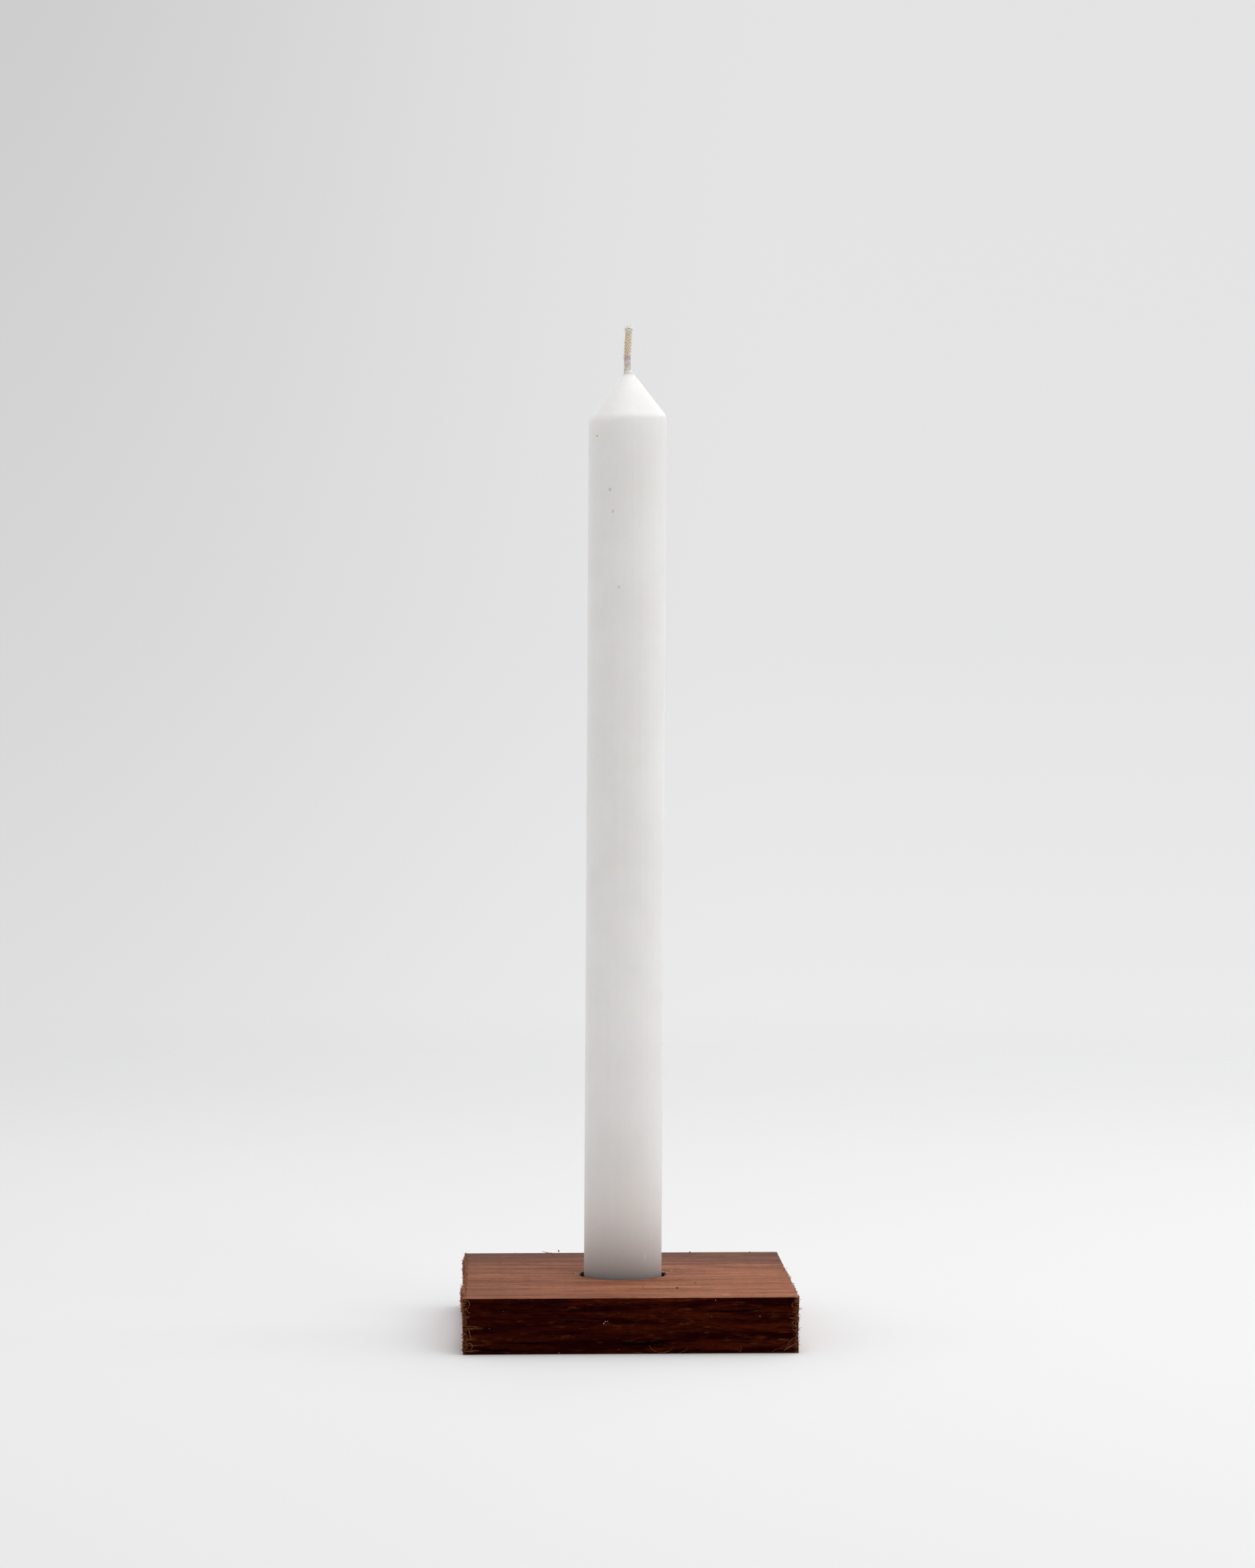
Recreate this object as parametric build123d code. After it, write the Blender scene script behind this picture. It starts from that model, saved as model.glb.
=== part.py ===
from build123d import *

import os
from math import atan2, radians, sin, tan

# Block candlestick: a nearly square offcut of hardwood plank, bored to hold one straight candle.
#
# The block lies flat, with the grain along X and its two sawn ends facing -X and +X. A
# flat-bottomed socket is bored down into the top face, a little off centre, with the bit's point
# mark in its floor. The candle stands in the socket: a straight wax column that ends in a cone,
# with a cotton wick through its whole length. The wax climbs the wick a few millimetres above
# the cone.
#
# Frame: +Z up, the front of the block faces -Y, and the origin is the centre of the block's
# underside. Lengths are in millimetres and angles in degrees.

# Block
block_length = 92.0  # along the grain, X
block_width = 89.0  # across the grain, Y
block_height = 15.5  # plank thickness, Z
arris_radius = 0.35  # worn rounding of the four edges that run along the grain

# Socket
socket_clearance = 1.0  # gap all round the candle
socket_depth = 11.0
socket_offset_x = -0.8  # socket centre from the block's centre
socket_offset_y = 1.1
socket_mouth_chamfer = 0.3
point_mark_diameter = 2.4  # cone left in the socket floor by the boring bit's point
point_mark_depth = 1.3

# Candle
candle_diameter = 22.0
candle_length = 266.0  # wax, from the base to the cone's cut tip
candle_lean = 0.33  # tilt of the standing candle towards +X
candle_seat_gap = 0.03  # between the candle's lowest point and the socket floor
base_chamfer = 0.7
cone_height = 12.6
cone_tip_ledge = 0.2  # the cone's cut tip stands out this far beyond the wax on the wick
cone_offset = 0.15  # cone from the column's centre, towards +X
shoulder_radius = 1.0  # rounding where the column meets the cone

# Wick
wick_diameter = 1.8
wick_offset = -0.15  # from the column's centre, towards +X
wax_climb_height = 4.7  # wax up the wick, above the cone
wax_climb_wall = 0.22  # how thick that wax is
wax_climb_root = 0.8  # how far that wax reaches down into the cone, which it stands off-centre on
wick_exposed_length = 12.9  # above the cone
wick_sway = 0.35  # how far the bare wick leans over, towards +X
lean_start_share = 0.25  # where it starts to lean, as a share of the bare wick
lean_end_share = 0.65  # where it comes upright again
fray_flare = 0.45  # how far the opened end of the braid spreads beyond the wick
fray_height = 1.3

# A bend may use this share of the run on either side of it
BEND_SHARE = 0.45

# Worked out from the above
candle_radius = candle_diameter / 2
socket_radius = candle_radius + socket_clearance
socket_floor_z = block_height - socket_depth
wick_radius = wick_diameter / 2
wax_climb_radius = wick_radius + wax_climb_wall
cone_tip_radius = wax_climb_radius + cone_tip_ledge
cone_base_z = candle_length - cone_height

# The leaning candle stands on the lowest point of its chamfered base
base_flat_radius = candle_radius - base_chamfer
candle_base_z = socket_floor_z + candle_seat_gap + base_flat_radius * sin(radians(candle_lean))


def make_wood_block():
    """The bored block, with its origin at the centre of its underside."""
    block = Box(
        block_length,
        block_width,
        block_height,
        align=(Align.CENTER, Align.CENTER, Align.MIN),
    )
    block = fillet(block.edges().filter_by(Axis.X), arris_radius)
    mouth = Pos(socket_offset_x, socket_offset_y, block_height)
    bore = Cylinder(
        socket_radius, socket_depth, align=(Align.CENTER, Align.CENTER, Align.MAX)
    )
    easing = Cone(
        socket_radius,
        socket_radius + socket_mouth_chamfer,
        socket_mouth_chamfer,
        align=(Align.CENTER, Align.CENTER, Align.MAX),
    )
    point_mark = Pos(0, 0, -socket_depth) * Cone(
        0,
        point_mark_diameter / 2,
        point_mark_depth,
        align=(Align.CENTER, Align.CENTER, Align.MAX),
    )
    return block - mouth * bore - mouth * easing - mouth * point_mark


def make_candle_wax():
    """The wax in its own frame: base centre at the origin, column along +Z."""
    column = Cylinder(
        candle_radius, candle_length, align=(Align.CENTER, Align.CENTER, Align.MIN)
    )
    base_rim = column.edges().sort_by(Axis.Z)[0]
    column = chamfer(base_rim, base_chamfer)

    # One cone long enough to pass right through the column's wall, on its own centre line
    slope = (candle_radius - cone_tip_radius) / cone_height
    skirt = candle_length
    sharpening = Pos(cone_offset, 0, candle_length - skirt) * Cone(
        cone_tip_radius + slope * skirt,
        cone_tip_radius,
        skirt,
        align=(Align.CENTER, Align.CENTER, Align.MIN),
    )
    pointed = column & sharpening
    shoulder = [
        edge
        for edge in pointed.edges()
        if abs(edge.center(CenterOf.BOUNDING_BOX).Z - cone_base_z) < cone_height / 4
        and edge.length > candle_diameter
    ]
    pointed = fillet(shoulder, shoulder_radius)

    climb = Pos(wick_offset, 0, candle_length - wax_climb_root) * Cylinder(
        wax_climb_radius,
        wax_climb_root + wax_climb_height,
        align=(Align.CENTER, Align.CENTER, Align.MIN),
    )
    return pointed + climb - wick_channel()


def wick_channel():
    """The straight run of the wick inside the wax, as a solid."""
    return Pos(wick_offset, 0, 0) * Cylinder(
        wick_radius,
        candle_length + wax_climb_height,
        align=(Align.CENTER, Align.CENTER, Align.MIN),
    )


def make_wick():
    """The whole wick in the candle's frame: straight in the wax, then bare and slightly bent."""
    bare_z = candle_length + wax_climb_height
    tip_z = candle_length + wick_exposed_length
    lean_z = bare_z + (tip_z - bare_z) * lean_start_share
    upright_z = bare_z + (tip_z - bare_z) * lean_end_share
    upright_x = wick_offset + wick_sway

    # Two equal and opposite bends, both above the wax and as gentle as the runs there allow
    shortest_run = min(lean_z - bare_z, upright_z - lean_z, tip_z - upright_z)
    half_turn = atan2(wick_sway, upright_z - lean_z) / 2
    path = FilletPolyline(
        (wick_offset, 0, 0),
        (wick_offset, 0, lean_z),
        (upright_x, 0, upright_z),
        (upright_x, 0, tip_z),
        radius=BEND_SHARE * shortest_run / tan(half_turn),
    )
    braid = sweep(Plane.XY * Pos(wick_offset, 0, 0) * Circle(wick_radius), path=path)
    fray = Pos(upright_x, 0, tip_z) * Cone(
        wick_radius,
        wick_radius + fray_flare,
        fray_height,
        align=(Align.CENTER, Align.CENTER, Align.MAX),
    )
    return braid + fray


def stand_in_socket(piece):
    """Carries a piece from the candle's frame to where the leaning candle stands."""
    stance = Pos(socket_offset_x, socket_offset_y, candle_base_z) * Rot(0, candle_lean, 0)
    return stance * piece


def main():
    """Builds each piece and writes one STEP file for each."""
    os.makedirs("parts", exist_ok=True)
    pieces = {
        "wood_block": make_wood_block(),
        "candle_wax": stand_in_socket(make_candle_wax()),
        "wick": stand_in_socket(make_wick()),
    }
    for name, piece in pieces.items():
        export_step(piece, f"parts/{name}.step")


main()
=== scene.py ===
"""Dresses the block candlestick: a bored hardwood block with torn sawn ends, its candle and wick.

Lengths are in metres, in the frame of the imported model: +Z is up, the front of the block faces -Y,
and the origin is the centre of the block's underside. The grain runs along X.
"""

import logging
import math
from collections.abc import Sequence
from dataclasses import dataclass, field, replace
from enum import Enum, IntEnum
from functools import cache

import bmesh
import bpy
from mathutils import Euler, Matrix, Vector, noise


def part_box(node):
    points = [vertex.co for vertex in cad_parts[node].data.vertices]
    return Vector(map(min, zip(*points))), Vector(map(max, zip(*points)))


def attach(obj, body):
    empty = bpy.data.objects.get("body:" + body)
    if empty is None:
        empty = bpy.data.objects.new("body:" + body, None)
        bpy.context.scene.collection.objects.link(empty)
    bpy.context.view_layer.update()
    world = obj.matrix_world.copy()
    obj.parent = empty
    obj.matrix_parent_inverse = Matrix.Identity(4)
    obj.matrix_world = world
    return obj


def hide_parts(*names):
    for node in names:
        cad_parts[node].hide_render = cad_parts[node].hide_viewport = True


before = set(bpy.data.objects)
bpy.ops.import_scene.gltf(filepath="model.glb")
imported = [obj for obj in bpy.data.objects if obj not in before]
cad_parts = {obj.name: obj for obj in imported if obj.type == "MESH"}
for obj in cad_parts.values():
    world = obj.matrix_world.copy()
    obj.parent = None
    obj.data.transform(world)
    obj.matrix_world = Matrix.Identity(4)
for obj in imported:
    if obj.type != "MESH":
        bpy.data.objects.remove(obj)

log = logging.getLogger("candlestick")

MM = 0.001
HOLDER = "holder"
CANDLE = "candle"

Colour = tuple[float, float, float, float]
Triple = tuple[float, float, float]
Material = bpy.types.Material
Mesh = bpy.types.Mesh
Object = bpy.types.Object
Socket = bpy.types.NodeSocket
Tree = bpy.types.NodeTree
Inputs = dict[int | str, object]

BLOCK_LOW, BLOCK_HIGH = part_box("wood_block")
BLOCK_LENGTH = BLOCK_HIGH.x - BLOCK_LOW.x
BLOCK_WIDTH = BLOCK_HIGH.y - BLOCK_LOW.y
BLOCK_HEIGHT = BLOCK_HIGH.z - BLOCK_LOW.z
SOCKET_DEPTH = 11 * MM
WAX_LENGTH = 266 * MM
WAX_CLIMB = 4.7 * MM
CANDLE_LEAN = math.radians(0.33)
BASE_FLAT_RADIUS = 10.3 * MM  # of the candle's foot, inside its chamfer


def tone(red: float, green: float, blue: float) -> Colour:
    """An opaque linear colour."""
    return (red, green, blue, 1.0)


# ------------------------------------------------------------------ node trees


class Kind(Enum):
    """What a group's socket carries."""

    NUMBER = "NodeSocketFloat"
    WHOLE = "NodeSocketInt"
    VECTOR = "NodeSocketVector"
    GEOMETRY = "NodeSocketGeometry"
    MATERIAL = "NodeSocketMaterial"


KIND_OF = {float: Kind.NUMBER, int: Kind.WHOLE, tuple: Kind.VECTOR}


class Wiring:
    """Adds nodes to one tree and joins them."""

    def __init__(self, tree: Tree) -> None:
        """Works on the given tree."""
        self.tree = tree

    def feed(self, target: Socket, value: object) -> None:
        """Gives an input a value, or joins it to another node's output.

        Args:
            target: the input socket.
            value: an output socket, or a plain value that the input takes.
        """
        if isinstance(value, Socket):
            self.tree.links.new(value, target)
        else:
            target.default_value = value

    def add(self, kind: str, inputs: Inputs | None = None, **settings: object) -> bpy.types.Node:
        """Adds one node.

        Args:
            kind: the node's type name.
            inputs: values or sockets by the input's name or number.
            **settings: the node's own properties.

        Returns:
            The new node.
        """
        node = self.tree.nodes.new(kind)
        for name, value in settings.items():
            setattr(node, name, value)
        for key, value in (inputs or {}).items():
            self.feed(node.inputs[key], value)
        return node

    def math(self, operation: str, *values: object, clamp: bool = False) -> Socket:
        """One Math node.

        Args:
            operation: the node's operation.
            *values: its inputs in order.
            clamp: whether the result is held between 0 and 1.

        Returns:
            The result's socket.
        """
        node = self.add("ShaderNodeMath", dict(enumerate(values)), operation=operation, use_clamp=clamp)
        return node.outputs[0]

    def plus(self, first: object, second: object) -> Socket:
        """The sum of two numbers."""
        return self.math("ADD", first, second)

    def minus(self, first: object, second: object) -> Socket:
        """One number less another."""
        return self.math("SUBTRACT", first, second)

    def times(self, first: object, second: object) -> Socket:
        """The product of two numbers."""
        return self.math("MULTIPLY", first, second)

    def over(self, first: object, second: object) -> Socket:
        """One number divided by another."""
        return self.math("DIVIDE", first, second)

    def larger(self, first: object, second: object) -> Socket:
        """The larger of two numbers."""
        return self.math("MAXIMUM", first, second)

    def swing(self, value: object, size: object) -> Socket:
        """Turns a value from 0 to 1 into an offset of up to half the size, to either side."""
        return self.times(self.minus(value, 0.5), size)

    def vector(self, operation: str, *values: object, scale: object = None) -> Socket:
        """One Vector Math node.

        Args:
            operation: the node's operation.
            *values: its vector inputs in order.
            scale: the factor of a SCALE operation.

        Returns:
            The result's socket, which is a number for LENGTH and DOT_PRODUCT.
        """
        inputs = dict(enumerate(values))
        if scale is not None:
            inputs["Scale"] = scale
        node = self.add("ShaderNodeVectorMath", inputs, operation=operation)
        return node.outputs["Value" if operation in ("LENGTH", "DOT_PRODUCT") else "Vector"]

    def xyz(self, x: object, y: object, z: object) -> Socket:
        """A vector from three numbers or sockets."""
        return self.add("ShaderNodeCombineXYZ", {0: x, 1: y, 2: z}).outputs[0]

    def split(self, vector: Socket) -> Sequence[Socket]:
        """The x, y and z sockets of a vector."""
        return self.add("ShaderNodeSeparateXYZ", {0: vector}).outputs

    def remap(
        self,
        value: object,
        low: object,
        high: object,
        to_low: object = 0.0,
        to_high: object = 1.0,
        smooth: bool = True,
    ) -> Socket:
        """Carries a value from one range to another and holds it there.

        Args:
            value: the number to carry.
            low: the value that becomes to_low.
            high: the value that becomes to_high.
            to_low: one end of the new range.
            to_high: the other end.
            smooth: whether the change eases in and out.

        Returns:
            The new value's socket.
        """
        blend = "SMOOTHSTEP" if smooth else "LINEAR"
        inputs = {0: value, 1: low, 2: high, 3: to_low, 4: to_high}
        return self.add("ShaderNodeMapRange", inputs, interpolation_type=blend, clamp=True).outputs[0]

    def noise(self, vector: object, scale: object, detail: float = 2.0, roughness: float = 0.5) -> Socket:
        """A noise texture's grey value, about 0.5 on average."""
        inputs = {"Vector": vector, "Scale": scale, "Detail": detail, "Roughness": roughness}
        return self.add("ShaderNodeTexNoise", inputs).outputs["Fac"]

    def blend(self, factor: object, under: object, over: object, how: str = "MIX") -> Socket:
        """Mixes two colours.

        Args:
            factor: how much of the second colour shows.
            under: the first colour.
            over: the second colour.
            how: the blend type.

        Returns:
            The mixed colour's socket.
        """
        node = self.add("ShaderNodeMix", {0: factor, 6: under, 7: over}, data_type="RGBA", blend_type=how)
        return node.outputs[2]

    def group(self, tree: Tree, **inputs: object) -> bpy.types.Node:
        """Places a shader node group.

        Args:
            tree: the group's tree.
            **inputs: its inputs by name, with _ for a space.

        Returns:
            The group node.
        """
        node = self.add("ShaderNodeGroup", node_tree=tree)
        for name, value in inputs.items():
            self.feed(node.inputs[name.replace("_", " ")], value)
        return node


class Group(Wiring):
    """A node group of its own, with named inputs and outputs."""

    def __init__(self, name: str, tree_kind: str, inputs: Inputs, output: tuple[str, Kind]) -> None:
        """Makes the empty group.

        Args:
            name: the group's name.
            tree_kind: ShaderNodeTree or GeometryNodeTree.
            inputs: each input's first value, or its kind if it has none.
            output: the output's name and kind.
        """
        super().__init__(bpy.data.node_groups.new(name, tree_kind))
        for title, value in inputs.items():
            kind = value if isinstance(value, Kind) else KIND_OF[type(value)]
            socket = self.tree.interface.new_socket(title, in_out="INPUT", socket_type=kind.value)
            if value is not kind:
                socket.default_value = value
        self.tree.interface.new_socket(output[0], in_out="OUTPUT", socket_type=output[1].value)
        self.given = self.tree.nodes.new("NodeGroupInput").outputs
        self.result = self.tree.nodes.new("NodeGroupOutput").inputs


# ------------------------------------------------------------------ shared effects of the finishes


@cache
def long_grain() -> Tree:
    """Streaks that run along X: a noise stretched along the grain, with a slight wander across it.

    Returns:
        The finished tree.
    """
    inputs = {
        "Vector": Kind.VECTOR,
        "Width": 1 * MM,
        "Stretch": 30.0,
        "Wander": 0.3 * MM,
        "Detail": 3.0,
    }
    group = Group("long grain", "ShaderNodeTree", inputs, ("Value", Kind.NUMBER))
    given = group.given
    drift = group.swing(group.noise(given["Vector"], 45.0), group.times(given["Wander"], 2.0))
    moved = group.vector("ADD", given["Vector"], group.xyz(0.0, drift, drift))
    across = group.over(1.0, given["Width"])
    along = group.over(across, given["Stretch"])
    stretched = group.vector("MULTIPLY", moved, group.xyz(along, across, across))
    group.feed(group.result["Value"], group.noise(stretched, 1.0, given["Detail"], 0.6))
    return group.tree


@cache
def open_pores() -> Tree:
    """Short dark dashes along X, as the cut pores of an open-grained hardwood.

    Returns:
        The finished tree.
    """
    inputs = {
        "Vector": Kind.VECTOR,
        "Width": 0.5 * MM,
        "Stretch": 14.0,
        "Share": 0.4,
    }
    group = Group("open pores", "ShaderNodeTree", inputs, ("Mask", Kind.NUMBER))
    given = group.given
    across = group.over(1.0, given["Width"])
    along = group.over(across, given["Stretch"])
    stretched = group.vector("MULTIPLY", given["Vector"], group.xyz(along, across, across))
    cells = group.add("ShaderNodeTexVoronoi", {"Vector": stretched, "Scale": 1.0})
    dash = group.remap(cells.outputs["Distance"], 0.16, 0.34, 1.0, 0.0)
    chosen = group.math("LESS_THAN", group.split(cells.outputs["Color"])[0], given["Share"])
    group.feed(group.result["Mask"], group.times(dash, chosen))
    return group.tree


@cache
def blotches() -> Tree:
    """Soft-edged patches, as far along X as Stretch says.

    Returns:
        The finished tree.
    """
    inputs = {
        "Vector": Kind.VECTOR,
        "Width": 3 * MM,
        "Stretch": 3.0,
        "Level": 0.55,
        "Softness": 0.1,
    }
    group = Group("blotches", "ShaderNodeTree", inputs, ("Mask", Kind.NUMBER))
    given = group.given
    sizes = {title: given[title] for title in ("Vector", "Width", "Stretch")}
    grain = group.group(long_grain(), **sizes, Wander=0.0, Detail=4.0)
    high = group.plus(given["Level"], given["Softness"])
    group.feed(group.result["Mask"], group.remap(grain.outputs["Value"], given["Level"], high))
    return group.tree


@cache
def flecks() -> Tree:
    """Small round specks scattered over a surface.

    Returns:
        The finished tree.
    """
    inputs = {
        "Vector": Kind.VECTOR,
        "Spacing": 4 * MM,
        "Size": 0.15 * MM,
        "Share": 0.3,
    }
    group = Group("flecks", "ShaderNodeTree", inputs, ("Mask", Kind.NUMBER))
    given = group.given
    scale = group.over(1.0, given["Spacing"])
    cells = group.add("ShaderNodeTexVoronoi", {"Vector": given["Vector"], "Scale": scale})
    reach = group.over(given["Size"], given["Spacing"])
    spot = group.remap(cells.outputs["Distance"], group.times(reach, 0.6), reach, 1.0, 0.0)
    chosen = group.math("LESS_THAN", group.split(cells.outputs["Color"])[1], given["Share"])
    group.feed(group.result["Mask"], group.times(spot, chosen))
    return group.tree


@cache
def end_fringe() -> Tree:
    """How torn the wood is near a sawn end: 1 at the end, fading inward in uneven strands.

    Returns:
        The finished tree.
    """
    inputs = {
        "Vector": Kind.VECTOR,
        "Half Length": BLOCK_LENGTH / 2,
        "Reach": 2 * MM,
        "Strands": 4 * MM,
    }
    group = Group("end fringe", "ShaderNodeTree", inputs, ("Mask", Kind.NUMBER))
    given = group.given
    inward = group.minus(given["Half Length"], group.math("ABSOLUTE", group.split(given["Vector"])[0]))
    sizes = {"Width": 0.35 * MM, "Stretch": 14.0, "Wander": 0.0, "Detail": 2.0}
    grain = group.group(long_grain(), Vector=given["Vector"], **sizes)
    strand = group.math("POWER", group.remap(grain.outputs["Value"], 0.35, 0.8, smooth=False), 2.0)
    edge = group.plus(given["Reach"], group.times(strand, given["Strands"]))
    start = group.times(edge, 0.45)
    group.feed(group.result["Mask"], group.remap(inward, start, edge, 1.0, 0.0))
    return group.tree


# ------------------------------------------------------------------ finishes


WAX_DEPTHS = (1.0, 0.85, 0.7)  # how deep red, green and blue light go, each to red
COTTON_DEPTHS = (1.0, 0.7, 0.45)


@dataclass(frozen=True)
class Mark:
    """A faint mark on a surface: its centre and half size along each axis in mm, and how much it shows."""

    centre: Triple
    size: Triple
    strength: float


class Surface(Wiring):
    """A new material's nodes, with its shader and the Object coordinates, which are the frame's metres."""

    def __init__(self, name: str) -> None:
        """Makes the plain material.

        Args:
            name: the material's name.
        """
        self.material = bpy.data.materials.new(name)
        self.material.use_nodes = True
        super().__init__(self.material.node_tree)
        self.shader = self.tree.nodes["Principled BSDF"]
        self.place = self.add("ShaderNodeTexCoord").outputs["Object"]

    def set(self, **values: object) -> None:
        """Gives the shader's sockets values or joins them.

        Args:
            **values: each input's value or socket by name, with _ for a space.
        """
        for name, value in values.items():
            self.feed(self.shader.inputs[name.replace("_", " ")], value)

    def bump(self, height: Socket, depth: float, strength: float = 1.0) -> None:
        """Raises the surface by a height of 0 to 1.

        Args:
            height: the height's socket.
            depth: what a height of 1 stands for, in metres.
            strength: how much of it shows.
        """
        node = self.add("ShaderNodeBump", {"Height": height, "Distance": depth, "Strength": strength})
        self.set(Normal=node.outputs["Normal"])

    def grain(self, width: float, stretch: float, wander: float = 0.2 * MM, detail: float = 3.0) -> Socket:
        """Streaks along X of a given width across the grain, in metres."""
        sizes = {"Width": width, "Stretch": stretch, "Wander": wander, "Detail": detail}
        return self.group(long_grain(), Vector=self.place, **sizes).outputs["Value"]

    def mask(self, tree: Tree, **inputs: object) -> Socket:
        """The mask of a shared effect, placed with its own values."""
        return self.group(tree, Vector=self.place, **inputs).outputs["Mask"]

    def spot(self, mark: Mark, soft: float = 0.5) -> Socket:
        """Where a mark lies, fading over the outer soft share of its size.

        Args:
            mark: the mark.
            soft: the share of its size that fades.

        Returns:
            The result's socket.
        """
        away = self.vector("SUBTRACT", self.place, tuple(value * MM for value in mark.centre))
        away = self.vector("DIVIDE", away, tuple(value * MM for value in mark.size))
        shape = self.remap(self.vector("LENGTH", away), 1.0 - soft, 1.0, 1.0, 0.0)
        return self.times(shape, mark.strength)

    def glow(self, weight: float, depths: Triple, scale: float) -> None:
        """Lets light into the surface: how much of it, how deep for each colour, and the depths' scale."""
        self.set(Subsurface_Weight=weight, Subsurface_Radius=depths, Subsurface_Scale=scale)

    def lay(self, colour: object, over: object, mask: object, share: float = 1.0) -> Socket:
        """Lays a colour over another where a mask is 1, so that up to a share of it shows."""
        return self.blend(mask if share == 1.0 else self.times(mask, share), colour, over)

    def sheen(self, value: object, low: float, high: float, specular: float, smooth: bool = True) -> None:
        """Roughness from low to high with a noise value, and how strongly the surface reflects."""
        roughness = self.remap(value, 0.3, 0.7, low, high, smooth=smooth)
        self.set(Roughness=roughness, Specular_IOR_Level=specular)

    def shade(self, colour: object, value: object, low: float, high: float) -> Socket:
        """Darkens or lightens a colour by a noise value, from low to high times as bright."""
        return self.blend(1.0, colour, self.remap(value, 0.3, 0.7, low, high, smooth=False), "MULTIPLY")


@dataclass(frozen=True)
class PlanedFace:
    """The block's top and underside: planed, with straight fine grain, greyer towards the back from a stain
    and a painted sheen.
    """

    light: Colour = tone(0.400, 0.160, 0.090)
    dark: Colour = tone(0.215, 0.079, 0.043)
    line: Colour = tone(0.080, 0.024, 0.016)
    pale: Colour = tone(0.560, 0.255, 0.160)
    scuff: Colour = tone(0.560, 0.340, 0.270)
    # a stain with painted sheen: the darker grey that the top turns towards the back
    back_stain: Colour = tone(0.125, 0.060, 0.046)
    torn: Colour = tone(0.42, 0.19, 0.11)
    scuffed: Mark = Mark((26.2, -39.6, 15.5), (1.6, 1.0, 2.0), 0.55)
    stain_start: float = 2 * MM
    stain_end: float = 44 * MM

    def build(self) -> Material:
        """Wires the finish and gives its material.

        Returns:
            The material.
        """
        s = Surface("planed_hardwood")
        bands = s.remap(s.grain(7 * MM, 9.0, 0.8 * MM), 0.36, 0.64)
        streaks = s.remap(s.grain(2.1 * MM, 15.0, 0.4 * MM, 5.0), 0.36, 0.64)
        mixed = s.plus(s.times(bands, 0.3), s.times(streaks, 0.7))
        colour = s.blend(mixed, self.dark, self.light)
        along = s.split(s.place)[0]
        colour = s.blend(1.0, colour, s.remap(along, -34 * MM, 34 * MM, 0.9, 1.13, smooth=False), "MULTIPLY")
        # a stain with painted sheen, darkening and greying the top towards the back along a ragged line
        ragged = s.swing(s.grain(4 * MM, 5.0), 70 * MM)
        ragged = s.plus(ragged, s.larger(s.times(along, 0.14), 0.0))
        ragged = s.plus(ragged, s.swing(s.grain(1.3 * MM, 14.0), 40 * MM))
        stain_and_sheen = s.remap(s.plus(s.split(s.place)[1], ragged), self.stain_start, self.stain_end)
        colour = s.lay(colour, self.back_stain, stain_and_sheen, 0.88)
        thin_lines = s.remap(s.grain(0.9 * MM, 22.0), 0.56, 0.70)
        wide_lines = s.remap(s.grain(1.5 * MM, 14.0, detail=2.0), 0.60, 0.74)
        lines = s.larger(s.times(thin_lines, 0.45), s.times(wide_lines, 0.4))
        colour = s.lay(colour, self.line, lines)
        bright_lines = s.remap(s.grain(0.8 * MM, 18.0), 0.57, 0.72)
        colour = s.lay(colour, self.pale, bright_lines, 0.3)
        fibres = s.grain(0.26 * MM, 11.0)
        colour = s.shade(colour, fibres, 0.76, 1.24)
        colour = s.shade(colour, s.grain(0.34 * MM, 2.5, detail=4.0), 0.80, 1.20)
        pores = s.mask(open_pores(), Width=0.8 * MM, Stretch=9.0, Share=0.16)
        fine_pores = s.mask(open_pores(), Width=0.45 * MM, Stretch=8.0, Share=0.3)
        dashes = s.larger(s.times(pores, 0.65), s.times(fine_pores, 0.4))
        colour = s.lay(colour, self.line, dashes)
        colour = s.lay(colour, self.scuff, s.spot(self.scuffed))
        fringe = s.mask(end_fringe(), Reach=0.4 * MM, Strands=1.4 * MM)
        fainter = s.remap(s.plus(s.split(s.place)[1], along), 60 * MM, 72 * MM, 0.5, 0.1)
        colour = s.lay(colour, self.torn, s.times(fringe, fainter))
        s.set(Base_Color=colour)
        s.sheen(fibres, 0.62, 0.8, 0.04, smooth=False)
        s.bump(s.minus(s.times(fibres, 0.6), dashes), 0.10 * MM)
        return s.material


def tear(x: float, z: float, half_length: float, half_height: float, strength: float) -> Mark:
    """A torn patch on the block's front face; places and sizes in mm."""
    return Mark((x, BLOCK_LOW.y / MM, z), (half_length, 3.0, half_height), strength)


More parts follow.
